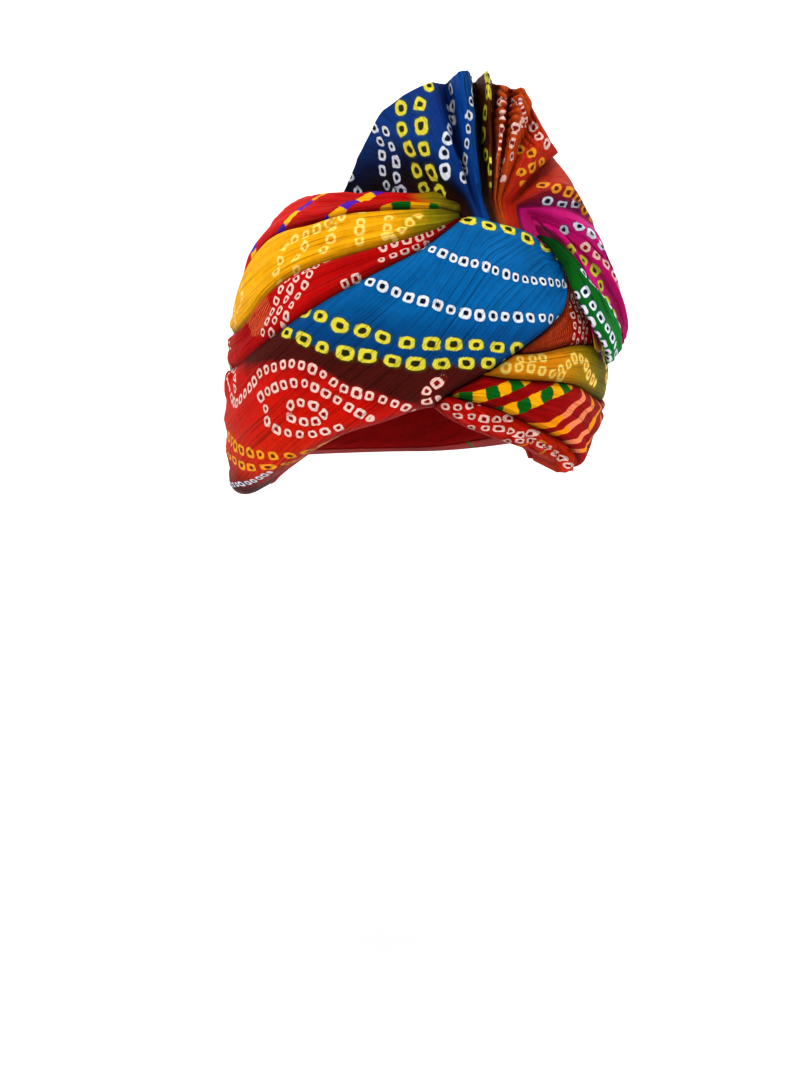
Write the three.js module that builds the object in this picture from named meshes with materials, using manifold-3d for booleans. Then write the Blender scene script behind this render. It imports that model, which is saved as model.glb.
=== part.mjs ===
// A tied turban: one long tie-dyed cloth wound round the head, with a pleated fan that stands
// behind the broad front turn and drapes down one side.
// Millimetres, +Z up. The origin is the middle of the head opening, the front faces -Y, and +X is
// the side that the fan drapes down. Azimuth is measured from the front towards +X and elevation
// from brow level, both in degrees about the middle of the wound body.

import * as THREE from "three";
import Module from "manifold-3d";

const wasm = await Module();
wasm.setup();

// Driving dimensions.
const BROW_LEVEL = 45;
const HEAD = { halfWidth: 78.5, halfDepth: 98.5, domeHeight: 105 };
const BODY = {
  centre: new THREE.Vector3(4.5, 2, BROW_LEVEL),
  halfWidth: 102.5,
  halfDepth: 120,
  height: 123,
  planPower: 2.2,
  profilePower: 2.75,
};
const FIRST_TURNS = 3;
const LAYER_GAP = 0.8;
const EDGE_GAP = 0.36;
const FOLD_WIDTH = 5;
const FULL_FOLD_WIDTH = 20;
const CROWN_THICKNESS = 5;
const CROWN_CLEARANCE = 1.2;
const FAN_CLOTH = 2.4;
const ROLL_LIFT = 5.2;
const ROLL_CLEARANCE = 6.8;
const ROLL_TO_FAN = 0.5;
const ENVELOPE_LEVELS = [-30, -18, -6, 6, 17, 27, 36, 44, 51, 57];

const DEGREE = Math.PI / 180;
const ABOVE_ALL = 90;
const BELOW_ALL = -90;

// Azimuths of the sections: wide steps at the back, close ones at the gather in front.
const SECTION_STEPS = [
  { from: -180, step: 10 },
  { from: -110, step: 6.6 },
  { from: -11, step: 3 },
  { from: 49, step: 1 },
  { from: 50, step: 6 },
  { from: 91, step: 9 },
  { from: 180, step: 0 },
];

// Lowest edge of the cloth, deepest over the right ear and highest at the notch over the brow.
const RIM = [
  { az: -180, el: -22 },
  { az: -120, el: -22 },
  { az: -95, el: -27 },
  { az: -80, el: -28 },
  { az: -68, el: -26 },
  { az: -59, el: -22.5 },
  { az: -47, el: -17 },
  { az: -32, el: -9 },
  { az: -20, el: -3 },
  { az: -10, el: 0.3 },
  { az: 4.5, el: 4.6 },
  { az: 8, el: 2 },
  { az: 15, el: -1.7 },
  { az: 28, el: -6.5 },
  { az: 41, el: -11.3 },
  { az: 45, el: -13.6 },
  { az: 48, el: -17 },
  { az: 53, el: -17.2 },
  { az: 62, el: -13.8 },
  { az: 75, el: -9.5 },
  { az: 95, el: -9.5 },
  { az: 135, el: -17 },
];

// How far the outside curves in towards the head at the rim, and over what height.
const RIM_ROUNDING = [
  { az: -180, inward: 12, height: 16 },
  { az: -70, inward: 12, height: 14 },
  { az: -50, inward: 13, height: 22 },
  { az: -30, inward: 14, height: 34 },
  { az: 0, inward: 15, height: 38 },
  { az: 25, inward: 14, height: 34 },
  { az: 45, inward: 13, height: 24 },
  { az: 65, inward: 15, height: 20 },
  { az: 100, inward: 14, height: 18 },
];

// Lower edge of the highest ring. Between 16 and 49 degrees it rises over the root of the fan.
const RING_LOW = [
  { az: -180, el: 37 },
  { az: -120, el: 33 },
  { az: -95, el: 31 },
  { az: -85, el: 33 },
  { az: -70, el: 44.5 },
  { az: -60, el: 48.4 },
  { az: -40, el: 50.7 },
  { az: -20, el: 54.1 },
  { az: 0, el: 55.4 },
  { az: 10, el: 54.4 },
  { az: 16, el: 53 },
  { az: 20, el: 56.4 },
  { az: 30, el: 57.5 },
  { az: 40, el: 54 },
  { az: 46, el: 47 },
  { az: 49, el: 42.5 },
  { az: 60, el: 41 },
  { az: 80, el: 41 },
  { az: 130, el: 38 },
];

// Lower edge of the yellow turn.
const YELLOW_LOW = [
  { az: -180, el: 19 },
  { az: -120, el: 19 },
  { az: -66, el: 22.7 },
  { az: -57, el: 25.5 },
  { az: -49, el: 31 },
  { az: -40, el: 35.6 },
  { az: -20, el: 40.8 },
  { az: 0, el: 45.9 },
  { az: 12, el: 49.3 },
  { az: 16, el: 51.2 },
  { az: 85, el: 40 },
  { az: 100, el: 35 },
  { az: 120, el: 29 },
  { az: 150, el: 22 },
];

// Lower edge of the small-dotted red turn.
const DOTTED_LOW = [
  { az: -175, el: 19 },
  { az: -145, el: 11 },
  { az: -120, el: 8 },
  { az: -90, el: 9.5 },
  { az: -64, el: 12.6 },
  { az: -45, el: 19.3 },
  { az: -30, el: 26.8 },
  { az: -10, el: 36.5 },
  { az: 0, el: 41.2 },
  { az: 12, el: 48.6 },
  { az: 16, el: 51 },
];

// The broad front turn: its top edge past the gather, its lower edge across the brow, and its tail.
const PANEL_TOP = [
  { az: 16, el: 51 },
  { az: 20, el: 51.8 },
  { az: 27, el: 50 },
  { az: 40, el: 46.9 },
  { az: 43, el: 44.5 },
  { az: 49, el: 41.8 },
];
const PANEL_FRONT = [
  { az: 4.5, el: 4.6 },
  { az: 6, el: 6.7 },
  { az: 17, el: 12.7 },
  { az: 25, el: 17.1 },
  { az: 40, el: 24.7 },
  { az: 44, el: 27 },
  { az: 46, el: 29.5 },
  { az: 48, el: 35.5 },
  { az: 49, el: 40 },
];
const PANEL_TAIL = [
  { az: -161, el: 4 },
  { az: -145, el: -2 },
  { az: -130, el: -10 },
  { az: -118, el: -18 },
  { az: -108, el: -24 },
];

// Upper and lower edge of the narrow olive turn at the side.
const OLIVE_HIGH = [
  { az: 16, el: 17 },
  { az: 30, el: 17.2 },
  { az: 50, el: 19 },
  { az: 75, el: 18 },
  { az: 120, el: 17 },
  { az: 150, el: 18 },
  { az: 180, el: 24 },
  { az: 230, el: 24 },
];
const OLIVE_LOW = [
  { az: 16, el: 12.4 },
  { az: 23, el: 11.4 },
  { az: 39, el: 9.9 },
  { az: 48, el: 8.6 },
  { az: 62, el: 4.5 },
  { az: 75, el: 2 },
  { az: 120, el: 2 },
  { az: 180, el: 6 },
  { az: 232, el: 7.7 },
];

// Lower edge of the striped turn, where the rolled rim shows below it.
const STRIPED_LOW = [
  { az: 4.5, el: 8.6 },
  { az: 12, el: 6.6 },
  { az: 21, el: 3.9 },
  { az: 30, el: -0.3 },
  { az: 45, el: -7.2 },
  { az: 50, el: -10.6 },
  { az: 54, el: -14.6 },
  { az: 57, el: -20 },
];

const CROWN_EDGE = [
  { az: -180, el: 62 },
  { az: -60, el: 64 },
  { az: 0, el: 63 },
  { az: 35, el: 65 },
  { az: 90, el: 62 },
];

// Pleats of the fan from the far side to the drape: where each ends, how far it bows out from the
// body half way, and the azimuth at which it leaves the gather.
const PLEATS = [
  { root: 18.2, x: -38, y: -12, z: 158, bow: 2 },
  { root: 19.2, x: -26, y: -28, z: 185, bow: 3 },
  { root: 20.2, x: -15, y: -52, z: 206, bow: 3 },
  { root: 21.2, x: -2, y: -58, z: 215, bow: 3 },
  { root: 22.2, x: 12, y: -52, z: 222, bow: 0 },
  { root: 23.1, x: 20, y: -38, z: 221, bow: -4 },
  { root: 24.1, x: 26, y: -60, z: 227, bow: 3 },
  { root: 25.1, x: 32, y: -54, z: 228, bow: 0 },
  { root: 26, x: 34.2, y: -40, z: 224, bow: -3 },
  { root: 28.2, x: 36, y: -27, z: 222, bow: -3 },
  { root: 28.8, x: 41.5, y: -58, z: 228, bow: 2 },
  { root: 29.4, x: 46, y: -41, z: 221, bow: -2 },
  { root: 30, x: 51, y: -58, z: 220, bow: 2 },
  { root: 30.6, x: 55, y: -43, z: 218, bow: -2 },
  { root: 31.2, x: 61, y: -58, z: 219, bow: 3 },
  { root: 31.9, x: 67, y: -44, z: 208, bow: 0 },
  { root: 32.3, x: 74, y: -53, z: 195, bow: 4 },
  { root: 32.7, x: 80.8, y: -42, z: 184.2, bow: 4 },
  { root: 35.8, x: 78.5, y: -32, z: 183, bow: 2 },
  { root: 36.6, x: 91, y: -50, z: 165, bow: 8 },
  { root: 37.2, x: 100, y: -36, z: 149, bow: 6 },
  { root: 38.4, x: 109, y: -44, z: 129, bow: 11 },
  { root: 39.6, x: 117, y: -33, z: 109, bow: 12 },
  { root: 40.4, x: 122, y: -31, z: 91, bow: 15 },
  { root: 41.2, x: 120, y: -28, z: 80, bow: 14 },
  { root: 42.2, x: 108, y: -46, z: 78, bow: 14 },
];
const FAN_PARTS = [
  { name: "fan_blue", first: 0, last: 8, from: 17.4, to: 26.8, colour: 0x0f4fa8 },
  { name: "fan_orange", first: 9, last: 17, from: 27.1, to: 34.2, colour: 0xb8400f },
  { name: "fan_magenta", first: 18, last: 25, from: 34.6, to: 43, colour: 0xb4107e },
];
const FAN_ROWS = 7;
const FAN_ROOT_ELEVATION = 53.4;
const FAN_ROOT_LIFT = 4.6;
const FAN_ROOT_PROUD = 6.8;
const FAN_CLEARANCE = 5.6;
const FAN_ROOT_THICKNESS = 3.6;

// Centre line of the green hem roll down the side: half its width and how thick it is.
const ROLL = [
  { az: 41, el: 44.6, half: 2.4, thick: 4 },
  { az: 45.5, el: 42, half: 3.6, thick: 6 },
  { az: 49, el: 37.4, half: 5.4, thick: 8 },
  { az: 50.5, el: 32.4, half: 8, thick: 10 },
  { az: 53.5, el: 28, half: 10.5, thick: 12 },
  { az: 58, el: 24, half: 12.5, thick: 13 },
  { az: 64, el: 19.8, half: 12.5, thick: 13 },
  { az: 68, el: 15.6, half: 9, thick: 11 },
  { az: 69, el: 12.6, half: 3, thick: 5 },
];
const ROLL_SIDES = 10;

// Value of a column at an azimuth, on a smooth curve without overshoot through the table's rows.
function curve(rows, column, outside) {
  const closed = outside === undefined;
  const x = rows.map((row) => row.az);
  const y = rows.map((row) => row[column]);
  if (closed) {
    x.push(x[0] + 360, x[1] + 360);
    y.push(y[0], y[1]);
    x.unshift(x[x.length - 3] - 360);
    y.unshift(y[y.length - 3]);
  }
  const rise = x.slice(1).map((value, i) => (y[i + 1] - y[i]) / (value - x[i]));
  const slope = x.map((_, i) => {
    const before = rise[i - 1] ?? rise[i];
    const after = rise[i] ?? before;
    return before * after <= 0 ? 0 : (2 * before * after) / (before + after);
  });
  const start = closed ? x[1] : x[0];
  return (azimuth) => {
    const turned = start + ((((azimuth - start) % 360) + 360) % 360);
    if (!closed && turned > x[x.length - 1] + 1e-9) return outside;
    let i = x.findIndex((value) => value > turned) - 1;
    if (i < 0) i = x.length - 2;
    const span = x[i + 1] - x[i];
    const t = (turned - x[i]) / span;
    const a = (1 + 2 * t) * (1 - t) * (1 - t) * y[i] + t * t * (3 - 2 * t) * y[i + 1];
    const b = t * (1 - t) * (1 - t) * slope[i] - t * t * (1 - t) * slope[i + 1];
    return a + span * b;
  };
}

const rim = curve(RIM, "el");
const rimInward = curve(RIM_ROUNDING, "inward");
const rimHeight = curve(RIM_ROUNDING, "height");
const ringLow = curve(RING_LOW, "el");
const crownEdge = curve(CROWN_EDGE, "el");
const yellowLow = curve(YELLOW_LOW, "el");
const dottedLow = curve(DOTTED_LOW, "el", ABOVE_ALL);
const panelTop = curve(PANEL_TOP, "el", ABOVE_ALL);
const panelFront = curve(PANEL_FRONT, "el", ABOVE_ALL);
const panelTail = curve(PANEL_TAIL, "el", ABOVE_ALL);
const oliveHigh = curve(OLIVE_HIGH, "el", ABOVE_ALL);
const oliveLow = curve(OLIVE_LOW, "el", ABOVE_ALL);
const stripedLow = curve(STRIPED_LOW, "el", BELOW_ALL);

const panelHigh = (az) => Math.min(dottedLow(az), panelTop(az), az < -100 ? oliveLow(az) : ABOVE_ALL);
function panelLow(az) {
  if (az < -108) return panelTail(az);
  return az < 4.5 ? rim(az) : panelFront(az);
}

// Every turn: the azimuths that it spans and its two edges, how far it stands proud, how deep its
// two edges are rolled in, and its lengthwise folds.
const TURNS = [
  {
    name: "top_red_wrap", from: -180, to: 180, low: ringLow, high: crownEdge,
    proud: 4.2, rollLow: 1.4, rollHigh: 3, folds: 2, foldDepth: 0.6, rows: 7, colour: 0xb8141a,
  },
  {
    name: "yellow_wrap", from: 88, to: 376, low: yellowLow, high: ringLow,
    proud: 3.6, rollLow: 1, rollHigh: 1.8, folds: 3, foldDepth: 0.9, rows: 8, colour: 0xe0a018,
  },
  {
    name: "dotted_red_wrap", from: -167, to: 13.5, low: dottedLow, high: yellowLow,
    proud: 4, rollLow: 1, rollHigh: 1.8, folds: 2, foldDepth: 0.9, rows: 7, colour: 0xa80c10,
  },
  {
    name: "front_panel", from: -157, to: 48.9, low: panelLow, high: panelHigh,
    proud: 5.4, rollLow: 2.8, rollHigh: 2.6, folds: 4, foldDepth: 0.9, rows: 12, colour: 0x1464a4,
  },
  {
    name: "side_hatch_wrap", from: 27.5, to: 158, low: oliveHigh,
    high: (az) => Math.min(panelFront(az), ringLow(az), yellowLowPast(az)),
    proud: 2.6, rollLow: 1.2, rollHigh: 1.2, folds: 2, foldDepth: 0.7, rows: 7, colour: 0x9c1414,
  },
  {
    name: "olive_wrap", from: 18.5, to: 229, low: oliveLow,
    high: (az) => Math.min(panelFront(az), oliveHigh(az), yellowLowPast(az), panelBack(az, dottedLow)),
    proud: 5, rollLow: 2.2, rollHigh: 2.2, folds: 1, foldDepth: 0.8, rows: 6, colour: 0xb0901c,
  },
  {
    name: "striped_wrap", from: 12.5, to: 247, low: (az) => Math.max(rim(az), stripedLow(az)),
    high: (az) => Math.min(panelFront(az), oliveLow(az), panelBack(az, panelTail)),
    proud: 3.8, rollLow: 1.8, rollHigh: 1.6, folds: 3, foldDepth: 0.9, rows: 8, colour: 0xb01818,
  },
  {
    name: "rim_roll", from: 6.5, to: 54, low: rim, high: (az) => Math.min(panelFront(az), stripedLow(az)),
    proud: 3, rollLow: 0, rollHigh: 1.4, folds: 1, foldDepth: 0.8, rows: 6, colour: 0xc03018,
  },
];

// The yellow turn's lower edge where it covers the turns of the far side, from its start to the back.
function yellowLowPast(az) {
  return az > 80 && az < 200 ? yellowLow(az) : ABOVE_ALL;
}

// An edge that counts only past the middle of the back, where the front turn's tail lies on top.
function panelBack(az, edge) {
  return az > 180 ? edge(az) : ABOVE_ALL;
}

function direction(az, el) {
  const flat = Math.cos(el * DEGREE);
  const turned = az * DEGREE;
  return new THREE.Vector3(Math.sin(turned) * flat, -Math.cos(turned) * flat, Math.sin(el * DEGREE));
}

// A quarter round: 1 at the very edge, 0 one width in from it.
function quarterRound(distance, width) {
  const t = Math.min(Math.max(distance / width, 0), 1);
  return 1 - Math.sqrt(1 - (1 - t) ** 2);
}

// Distance from the middle of the body to its smooth outside.
function bodyRadius(az, el) {
  const d = direction(az, el);
  const { halfWidth, halfDepth, height, planPower, profilePower } = BODY;
  const plan = Math.abs(d.x / halfWidth) ** planPower + Math.abs(d.y / halfDepth) ** planPower;
  const profile = Math.abs(d.z / height) ** profilePower;
  const full = (plan ** (profilePower / planPower) + profile) ** (-1 / profilePower);
  const climb = (el - rim(az)) * DEGREE * full;
  return full - rimInward(az) * quarterRound(climb, rimHeight(az));
}

// Distance from the middle of the body to the head form grown by a thickness: a dome over upright walls.
function headRadius(az, el, grow) {
  const d = direction(az, el);
  const c = BODY.centre;
  const x = HEAD.halfWidth + grow;
  const y = HEAD.halfDepth + grow;
  const z = HEAD.domeHeight + grow;
  const rise = el > 0 ? (d.z / z) ** 2 : 0;
  const square = (d.x / x) ** 2 + (d.y / y) ** 2 + rise;
  const half = (d.x * c.x) / x ** 2 + (d.y * c.y) / y ** 2;
  const rest = (c.x / x) ** 2 + (c.y / y) ** 2 - 1;
  return (-half + Math.sqrt(half * half - square * rest)) / square;
}

function pointAt(az, el, radius) {
  return direction(az, el).multiplyScalar(radius).add(BODY.centre);
}

function sections() {
  const list = [];
  for (let i = 0; i + 1 < SECTION_STEPS.length; i += 1) {
    const { from, step } = SECTION_STEPS[i];
    const end = SECTION_STEPS[i + 1].from;
    const count = Math.round((end - from) / step);
    for (let k = 0; k < count; k += 1) list.push(from + ((end - from) * k) / count);
  }
  return list;
}
const SECTIONS = sections();

// The section azimuths from one to another, both ends included.
function sectionsBetween(from, to) {
  const inside = [];
  for (const turn of [-360, 0, 360]) {
    for (const az of SECTIONS) {
      const value = az + turn;
      if (value > from + 0.8 && value < to - 0.8) inside.push(value);
    }
  }
  return [from, ...inside.sort((a, b) => a - b), to];
}

// Half of the gap to the next turn, in degrees of elevation, larger where the edge is steep.
function halfGap(edge, az, radius) {
  const steep = Math.abs(edge(az + 0.5) - edge(az - 0.5));
  return Math.min((EDGE_GAP * 0.5 * Math.hypot(1, Math.min(steep, 6))) / (radius * DEGREE), 0.6);
}

// Outer radius of a turn between two edges, at a share of the way from the lower to the upper.
function turnRadius(turn, az, low, high, share) {
  const el = low + (high - low) * share;
  const base = bodyRadius(az, el);
  const across = (high - low) * DEGREE * base;
  const width = Math.min(FOLD_WIDTH, across * 0.4);
  const rolledLow = turn.rollLow * quarterRound(share * across, width);
  const rolledHigh = turn.rollHigh * quarterRound((1 - share) * across, width);
  const rolled = rolledLow + rolledHigh;
  const narrow = Math.min(1, across / FULL_FOLD_WIDTH);
  const fold = turn.foldDepth * Math.cos(2 * Math.PI * turn.folds * share) * narrow;
  return base + turn.proud - rolled - fold;
}

// Shares of the width at which a turn's outside is sampled, close together at the rolled edges.
function outerShares(rows, across) {
  const edge = Math.min(FOLD_WIDTH / across, 0.3);
  const middle = rows - 5;
  const shares = [0, edge * 0.3, edge];
  for (let k = 1; k <= middle; k += 1) shares.push(edge + ((1 - 2 * edge) * k) / (middle + 1));
  shares.push(1 - edge, 1 - edge * 0.3, 1);
  return shares;
}

// One section of a turn: the outside from its lower to its upper edge, then the inside back down.
function turnSection(turn, az) {
  const radius = bodyRadius(az, turn.low(az));
  const low = turn.low(az) + halfGap(turn.low, az, radius);
  const high = turn.high(az) - halfGap(turn.high, az, radius);
  const across = Math.max((high - low) * DEGREE * radius, 1);
  const ring = outerShares(turn.rows, across).map((share) =>
    pointAt(az, low + (high - low) * share, turnRadius(turn, az, low, high, share)));
  const innerSteps = turn.rows > 9 ? 5 : 3;
  for (let k = innerSteps; k >= 0; k -= 1) {
    const el = low + ((high - low) * k) / innerSteps;
    ring.push(pointAt(az, el, headRadius(az, el, FIRST_TURNS + LAYER_GAP)));
  }
  return ring;
}

// A closed solid through rings of equally many points. Its ends are capped, or it closes on itself.
function loft(rings, closed) {
  const size = rings[0].length;
  const points = rings.flat();
  const faces = [];
  const strips = closed ? rings.length : rings.length - 1;
  for (let i = 0; i < strips; i += 1) {
    const next = (i + 1) % rings.length;
    for (let k = 0; k < size; k += 1) {
      const after = (k + 1) % size;
      faces.push([i * size + k, next * size + k, next * size + after]);
      faces.push([i * size + k, next * size + after, i * size + after]);
    }
  }
  if (!closed) {
    cap(rings[0], 0, false, faces);
    cap(rings[rings.length - 1], (rings.length - 1) * size, true, faces);
  }
  return outward({ points, faces });
}

// The same for rings whose second half runs back beside the first, as round a sheet of cloth.
function loftSheet(rings) {
  const size = rings[0].length;
  const solid = { points: rings.flat(), faces: [] };
  for (let i = 0; i + 1 < rings.length; i += 1) {
    for (let k = 0; k < size; k += 1) {
      const [a, b] = [i * size + k, i * size + ((k + 1) % size)];
      solid.faces.push([a, a + size, b + size], [a, b + size, b]);
    }
  }
  const last = (rings.length - 1) * size;
  for (let k = 0; k + 1 < size / 2; k += 1) {
    const back = size - 1 - k;
    solid.faces.push([k, k + 1, back - 1], [k, back - 1, back]);
    solid.faces.push([last + k, last + back - 1, last + k + 1], [last + k, last + back, last + back - 1]);
  }
  return outward(solid);
}

// Triangles over one end ring, cut in the plane that fits it best.
function cap(ring, offset, reverse, faces) {
  const normal = new THREE.Vector3();
  for (let k = 0; k < ring.length; k += 1) {
    normal.add(new THREE.Vector3().crossVectors(ring[k], ring[(k + 1) % ring.length]));
  }
  normal.normalize();
  const u = new THREE.Vector3().subVectors(ring[Math.floor(ring.length / 2)], ring[0]);
  u.addScaledVector(normal, -u.dot(normal)).normalize();
  const v = new THREE.Vector3().crossVectors(normal, u);
  const flat = ring.map((point) => new THREE.Vector2(point.dot(u), point.dot(v)));
  for (const [a, b, c] of THREE.ShapeUtils.triangulateShape(flat, [])) {
    const left = THREE.ShapeUtils.area([flat[a], flat[b], flat[c]]) > 0;
    const face = left !== reverse ? [a, b, c] : [a, c, b];
    faces.push(face.map((corner) => offset + corner));
  }
}

// The same solid with its faces turned outwards.
function outward(solid) {
  let volume = 0;
  for (const [a, b, c] of solid.faces) {
    volume += solid.points[a].dot(new THREE.Vector3().crossVectors(solid.points[b], solid.points[c]));
  }
  if (volume < 0) solid.faces.forEach((face) => face.reverse());
  return solid;
}

// A shell over the top, between an inner and an outer radius. Levels gives the elevations of its rows,
// from its open edge up, at an azimuth; the pole closes it.
function dome(levels, inner, outer) {
  const points = [];
  const faces = [];
  const count = SECTIONS.length;
  const rows = levels(0).length;
  for (const radius of [outer, inner]) {
    for (let k = 0; k < rows; k += 1) {
      for (const az of SECTIONS) {
        const el = levels(az)[k];
        points.push(pointAt(az, el, radius(az, el)));
      }
    }
    points.push(pointAt(0, 90, radius(0, 90)));
  }
  const side = rows * count + 1;
  for (let i = 0; i < count; i += 1) {
    const next = (i + 1) % count;
    for (let k = 0; k + 1 < rows; k += 1) {
      const [a, b] = [k * count + i, k * count + next];
      const [c, d] = [b + count, a + count];
      faces.push([a, b, c], [a, c, d], [side + a, side + c, side + b], [side + a, side + d, side + c]);
    }
    const last = (rows - 1) * count;
    faces.push([last + i, last + next, side - 1], [side + last + next, side + last + i, 2 * side - 1]);
    faces.push([next, i, side + i], [next, side + i, side + next]);
  }
  return outward({ points, faces });
}

// Elevations spaced evenly from an edge towards the pole.
function evenLevels(edge, count) {
  return (az) => Array.from({ length: count }, (_, k) => edge(az) + ((90 - edge(az)) * k) / count);
}

function toManifold(solid) {
  const vertProperties = new Float32Array(solid.points.flatMap((point) => point.toArray()));
  const triVerts = new Uint32Array(solid.faces.flat());
  return new wasm.Manifold(new wasm.Mesh({ numProp: 3, vertProperties, triVerts }));
}

function fromManifold(body) {
  const mesh = body.getMesh();
  const points = [];
  for (let k = 0; k < mesh.vertProperties.length; k += mesh.numProp) {
    points.push(new THREE.Vector3().fromArray(mesh.vertProperties, k));
  }
  const faces = [];
  for (let k = 0; k < mesh.triVerts.length; k += 3) faces.push(Array.from(mesh.triVerts.slice(k, k + 3)));
  return { points, faces };
}

// The largest of the loose bodies that a cut may leave.
function largest(body) {
  return body.decompose().sort((a, b) => b.volume() - a.volume())[0];
}

function turnSolid(turn) {
  const whole = turn.to - turn.from === 360;
  const stations = whole ? SECTIONS : sectionsBetween(turn.from, turn.to);
  return loft(stations.map((az) => turnSection(turn, az)), whole);
}

// Everything inside the turns and the sunken crown, a little swollen. The fan and the hem roll are
// kept clear of it.
function envelope(swell) {
  const levels = (az) => [...ENVELOPE_LEVELS, crownEdge(az) - 0.5, crownEdge(az) + 3, 76];
  const outside = (az, el) => (el > crownEdge(az) ? crownRadius(az, el) + 1 : bodyRadius(az, el) + swell);
  return toManifold(dome(levels, (az, el) => bodyRadius(az, el) * 0.4, outside));
}

function crownRadius(az, el) {
  return headRadius(az, el, FIRST_TURNS + CROWN_CLEARANCE + CROWN_THICKNESS);
}

// The root of a part of the fan, which fills the pocket between the front turn and the top ring.
function fanRoot(part) {
  const pocket = {
    low: panelTop, high: ringLow, proud: FAN_ROOT_PROUD,
    rollLow: 1, rollHigh: 1, folds: 0, foldDepth: 0, rows: 6,
  };
  return toManifold(loft(sectionsBetween(part.from, part.to).map((az) => turnSection(pocket, az)), false));
}

// A pleat's centre line from the gather to its end, at a share of its length.
function pleatPoint(pleat, share) {
  const rootRadius = bodyRadius(pleat.root, FAN_ROOT_ELEVATION) + FAN_ROOT_LIFT;
  const root = pointAt(pleat.root, FAN_ROOT_ELEVATION, rootRadius);
  const end = new THREE.Vector3(pleat.x, pleat.y, pleat.z);
  const point = root.lerp(end, share);
  const away = new THREE.Vector3().subVectors(point, BODY.centre).normalize();
  return point.addScaledVector(away, pleat.bow * 4 * share * (1 - share));
}

// The pleated sheet of a part of the fan, thick at the gather and thin at its edge, a little swollen.
function pleatedSheet(part, grow) {
  const pleats = PLEATS.slice(part.first, part.last + 1);
  const middle = [];
  for (let k = 0; k < FAN_ROWS; k += 1) {
    middle.push(pleats.map((pleat) => pleatPoint(pleat, k / (FAN_ROWS - 1))));
  }
  const columns = pleats.length;
  const normalAt = (k, i) => {
    const along = new THREE.Vector3().subVectors(
      middle[Math.min(k + 1, FAN_ROWS - 1)][i], middle[Math.max(k - 1, 0)][i]);
    const across = new THREE.Vector3().subVectors(
      middle[k][Math.min(i + 1, columns - 1)], middle[k][Math.max(i - 1, 0)]);
    return across.cross(along).normalize();
  };
  const rings = middle.map((row, k) => {
    const share = k / (FAN_ROWS - 1);
    const half = grow + 0.5 * (FAN_CLOTH + (FAN_ROOT_THICKNESS - FAN_CLOTH) * (1 - share) ** 3);
    const front = row.map((point, i) => point.clone().addScaledVector(normalAt(k, i), half));
    const back = row.map((point, i) => point.clone().addScaledVector(normalAt(k, i), -half));
    return [...front, ...back.reverse()];
  });
  return toManifold(loftSheet(rings));
}

// A part of the fan, with its root. The pleats of the part before it lie over its root.
function fanSolid(part, before, cutters) {
  let sheet = pleatedSheet(part, 0);
  for (const cutter of cutters) sheet = sheet.subtract(cutter);
  let root = fanRoot(part);
  if (before) root = root.subtract(pleatedSheet(before, EDGE_GAP));
  return fromManifold(largest(sheet.add(root)));
}

// The hem roll: rounded sections along its centre line, lying on the turns below it.
function rollSolid(grow) {
  const rings = ROLL.map((row, i) => {
    const before = ROLL[Math.max(i - 1, 0)];
    const after = ROLL[Math.min(i + 1, ROLL.length - 1)];
    const radius = bodyRadius(row.az, row.el) + ROLL_LIFT + row.thick / 2;
    const centre = pointAt(row.az, row.el, radius);
    const away = direction(row.az, row.el);
    const along = new THREE.Vector3().subVectors(
      pointAt(after.az, after.el, radius), pointAt(before.az, before.el, radius)).normalize();
    const side = new THREE.Vector3().crossVectors(along, away).normalize();
    const ring = [];
    for (let k = 0; k < ROLL_SIDES; k += 1) {
      const angle = (2 * Math.PI * k) / ROLL_SIDES;
      const point = centre.clone();
      point.addScaledVector(side, (row.half + grow) * Math.cos(angle));
      point.addScaledVector(away, (row.thick / 2 + grow) * Math.sin(angle));
      ring.push(point);
    }
    return ring;
  });
  return toManifold(loft(rings, false));
}

function finish(colour, roughness) {
  return new THREE.MeshStandardMaterial({ color: colour, roughness, metalness: 0 });
}

function addMesh(group, name, solid, colour) {
  const geometry = new THREE.BufferGeometry();
  const position = new Float32Array(solid.points.flatMap((point) => point.toArray()));
  geometry.setAttribute("position", new THREE.BufferAttribute(position, 3));
  geometry.setIndex(solid.faces.flat());
  geometry.computeVertexNormals();
  const mesh = new THREE.Mesh(geometry, finish(colour, 0.7));
  mesh.name = name;
  group.add(mesh);
}

const group = new THREE.Group();

addMesh(group, "under_wrap", dome(
  evenLevels((az) => rim(az) + 1.6, 7),
  (az, el) => headRadius(az, el, 0),
  (az, el) => headRadius(az, el, FIRST_TURNS),
), 0x8c1418);

addMesh(group, "crown_cover", dome(
  evenLevels((az) => crownEdge(az) + 0.3, 3),
  (az, el) => headRadius(az, el, FIRST_TURNS + CROWN_CLEARANCE),
  crownRadius,
), 0x981418);

for (const turn of TURNS) addMesh(group, turn.name, turnSolid(turn), turn.colour);

const rollBody = rollSolid(0).subtract(envelope(ROLL_CLEARANCE));
addMesh(group, "green_roll", fromManifold(largest(rollBody)), 0x128428);

const fanCutters = [envelope(FAN_CLEARANCE), rollSolid(ROLL_TO_FAN)];
FAN_PARTS.forEach((part, i) => {
  addMesh(group, part.name, fanSolid(part, FAN_PARTS[i - 1], fanCutters), part.colour);
});

export default group;
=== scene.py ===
import math
from collections import namedtuple

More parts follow.
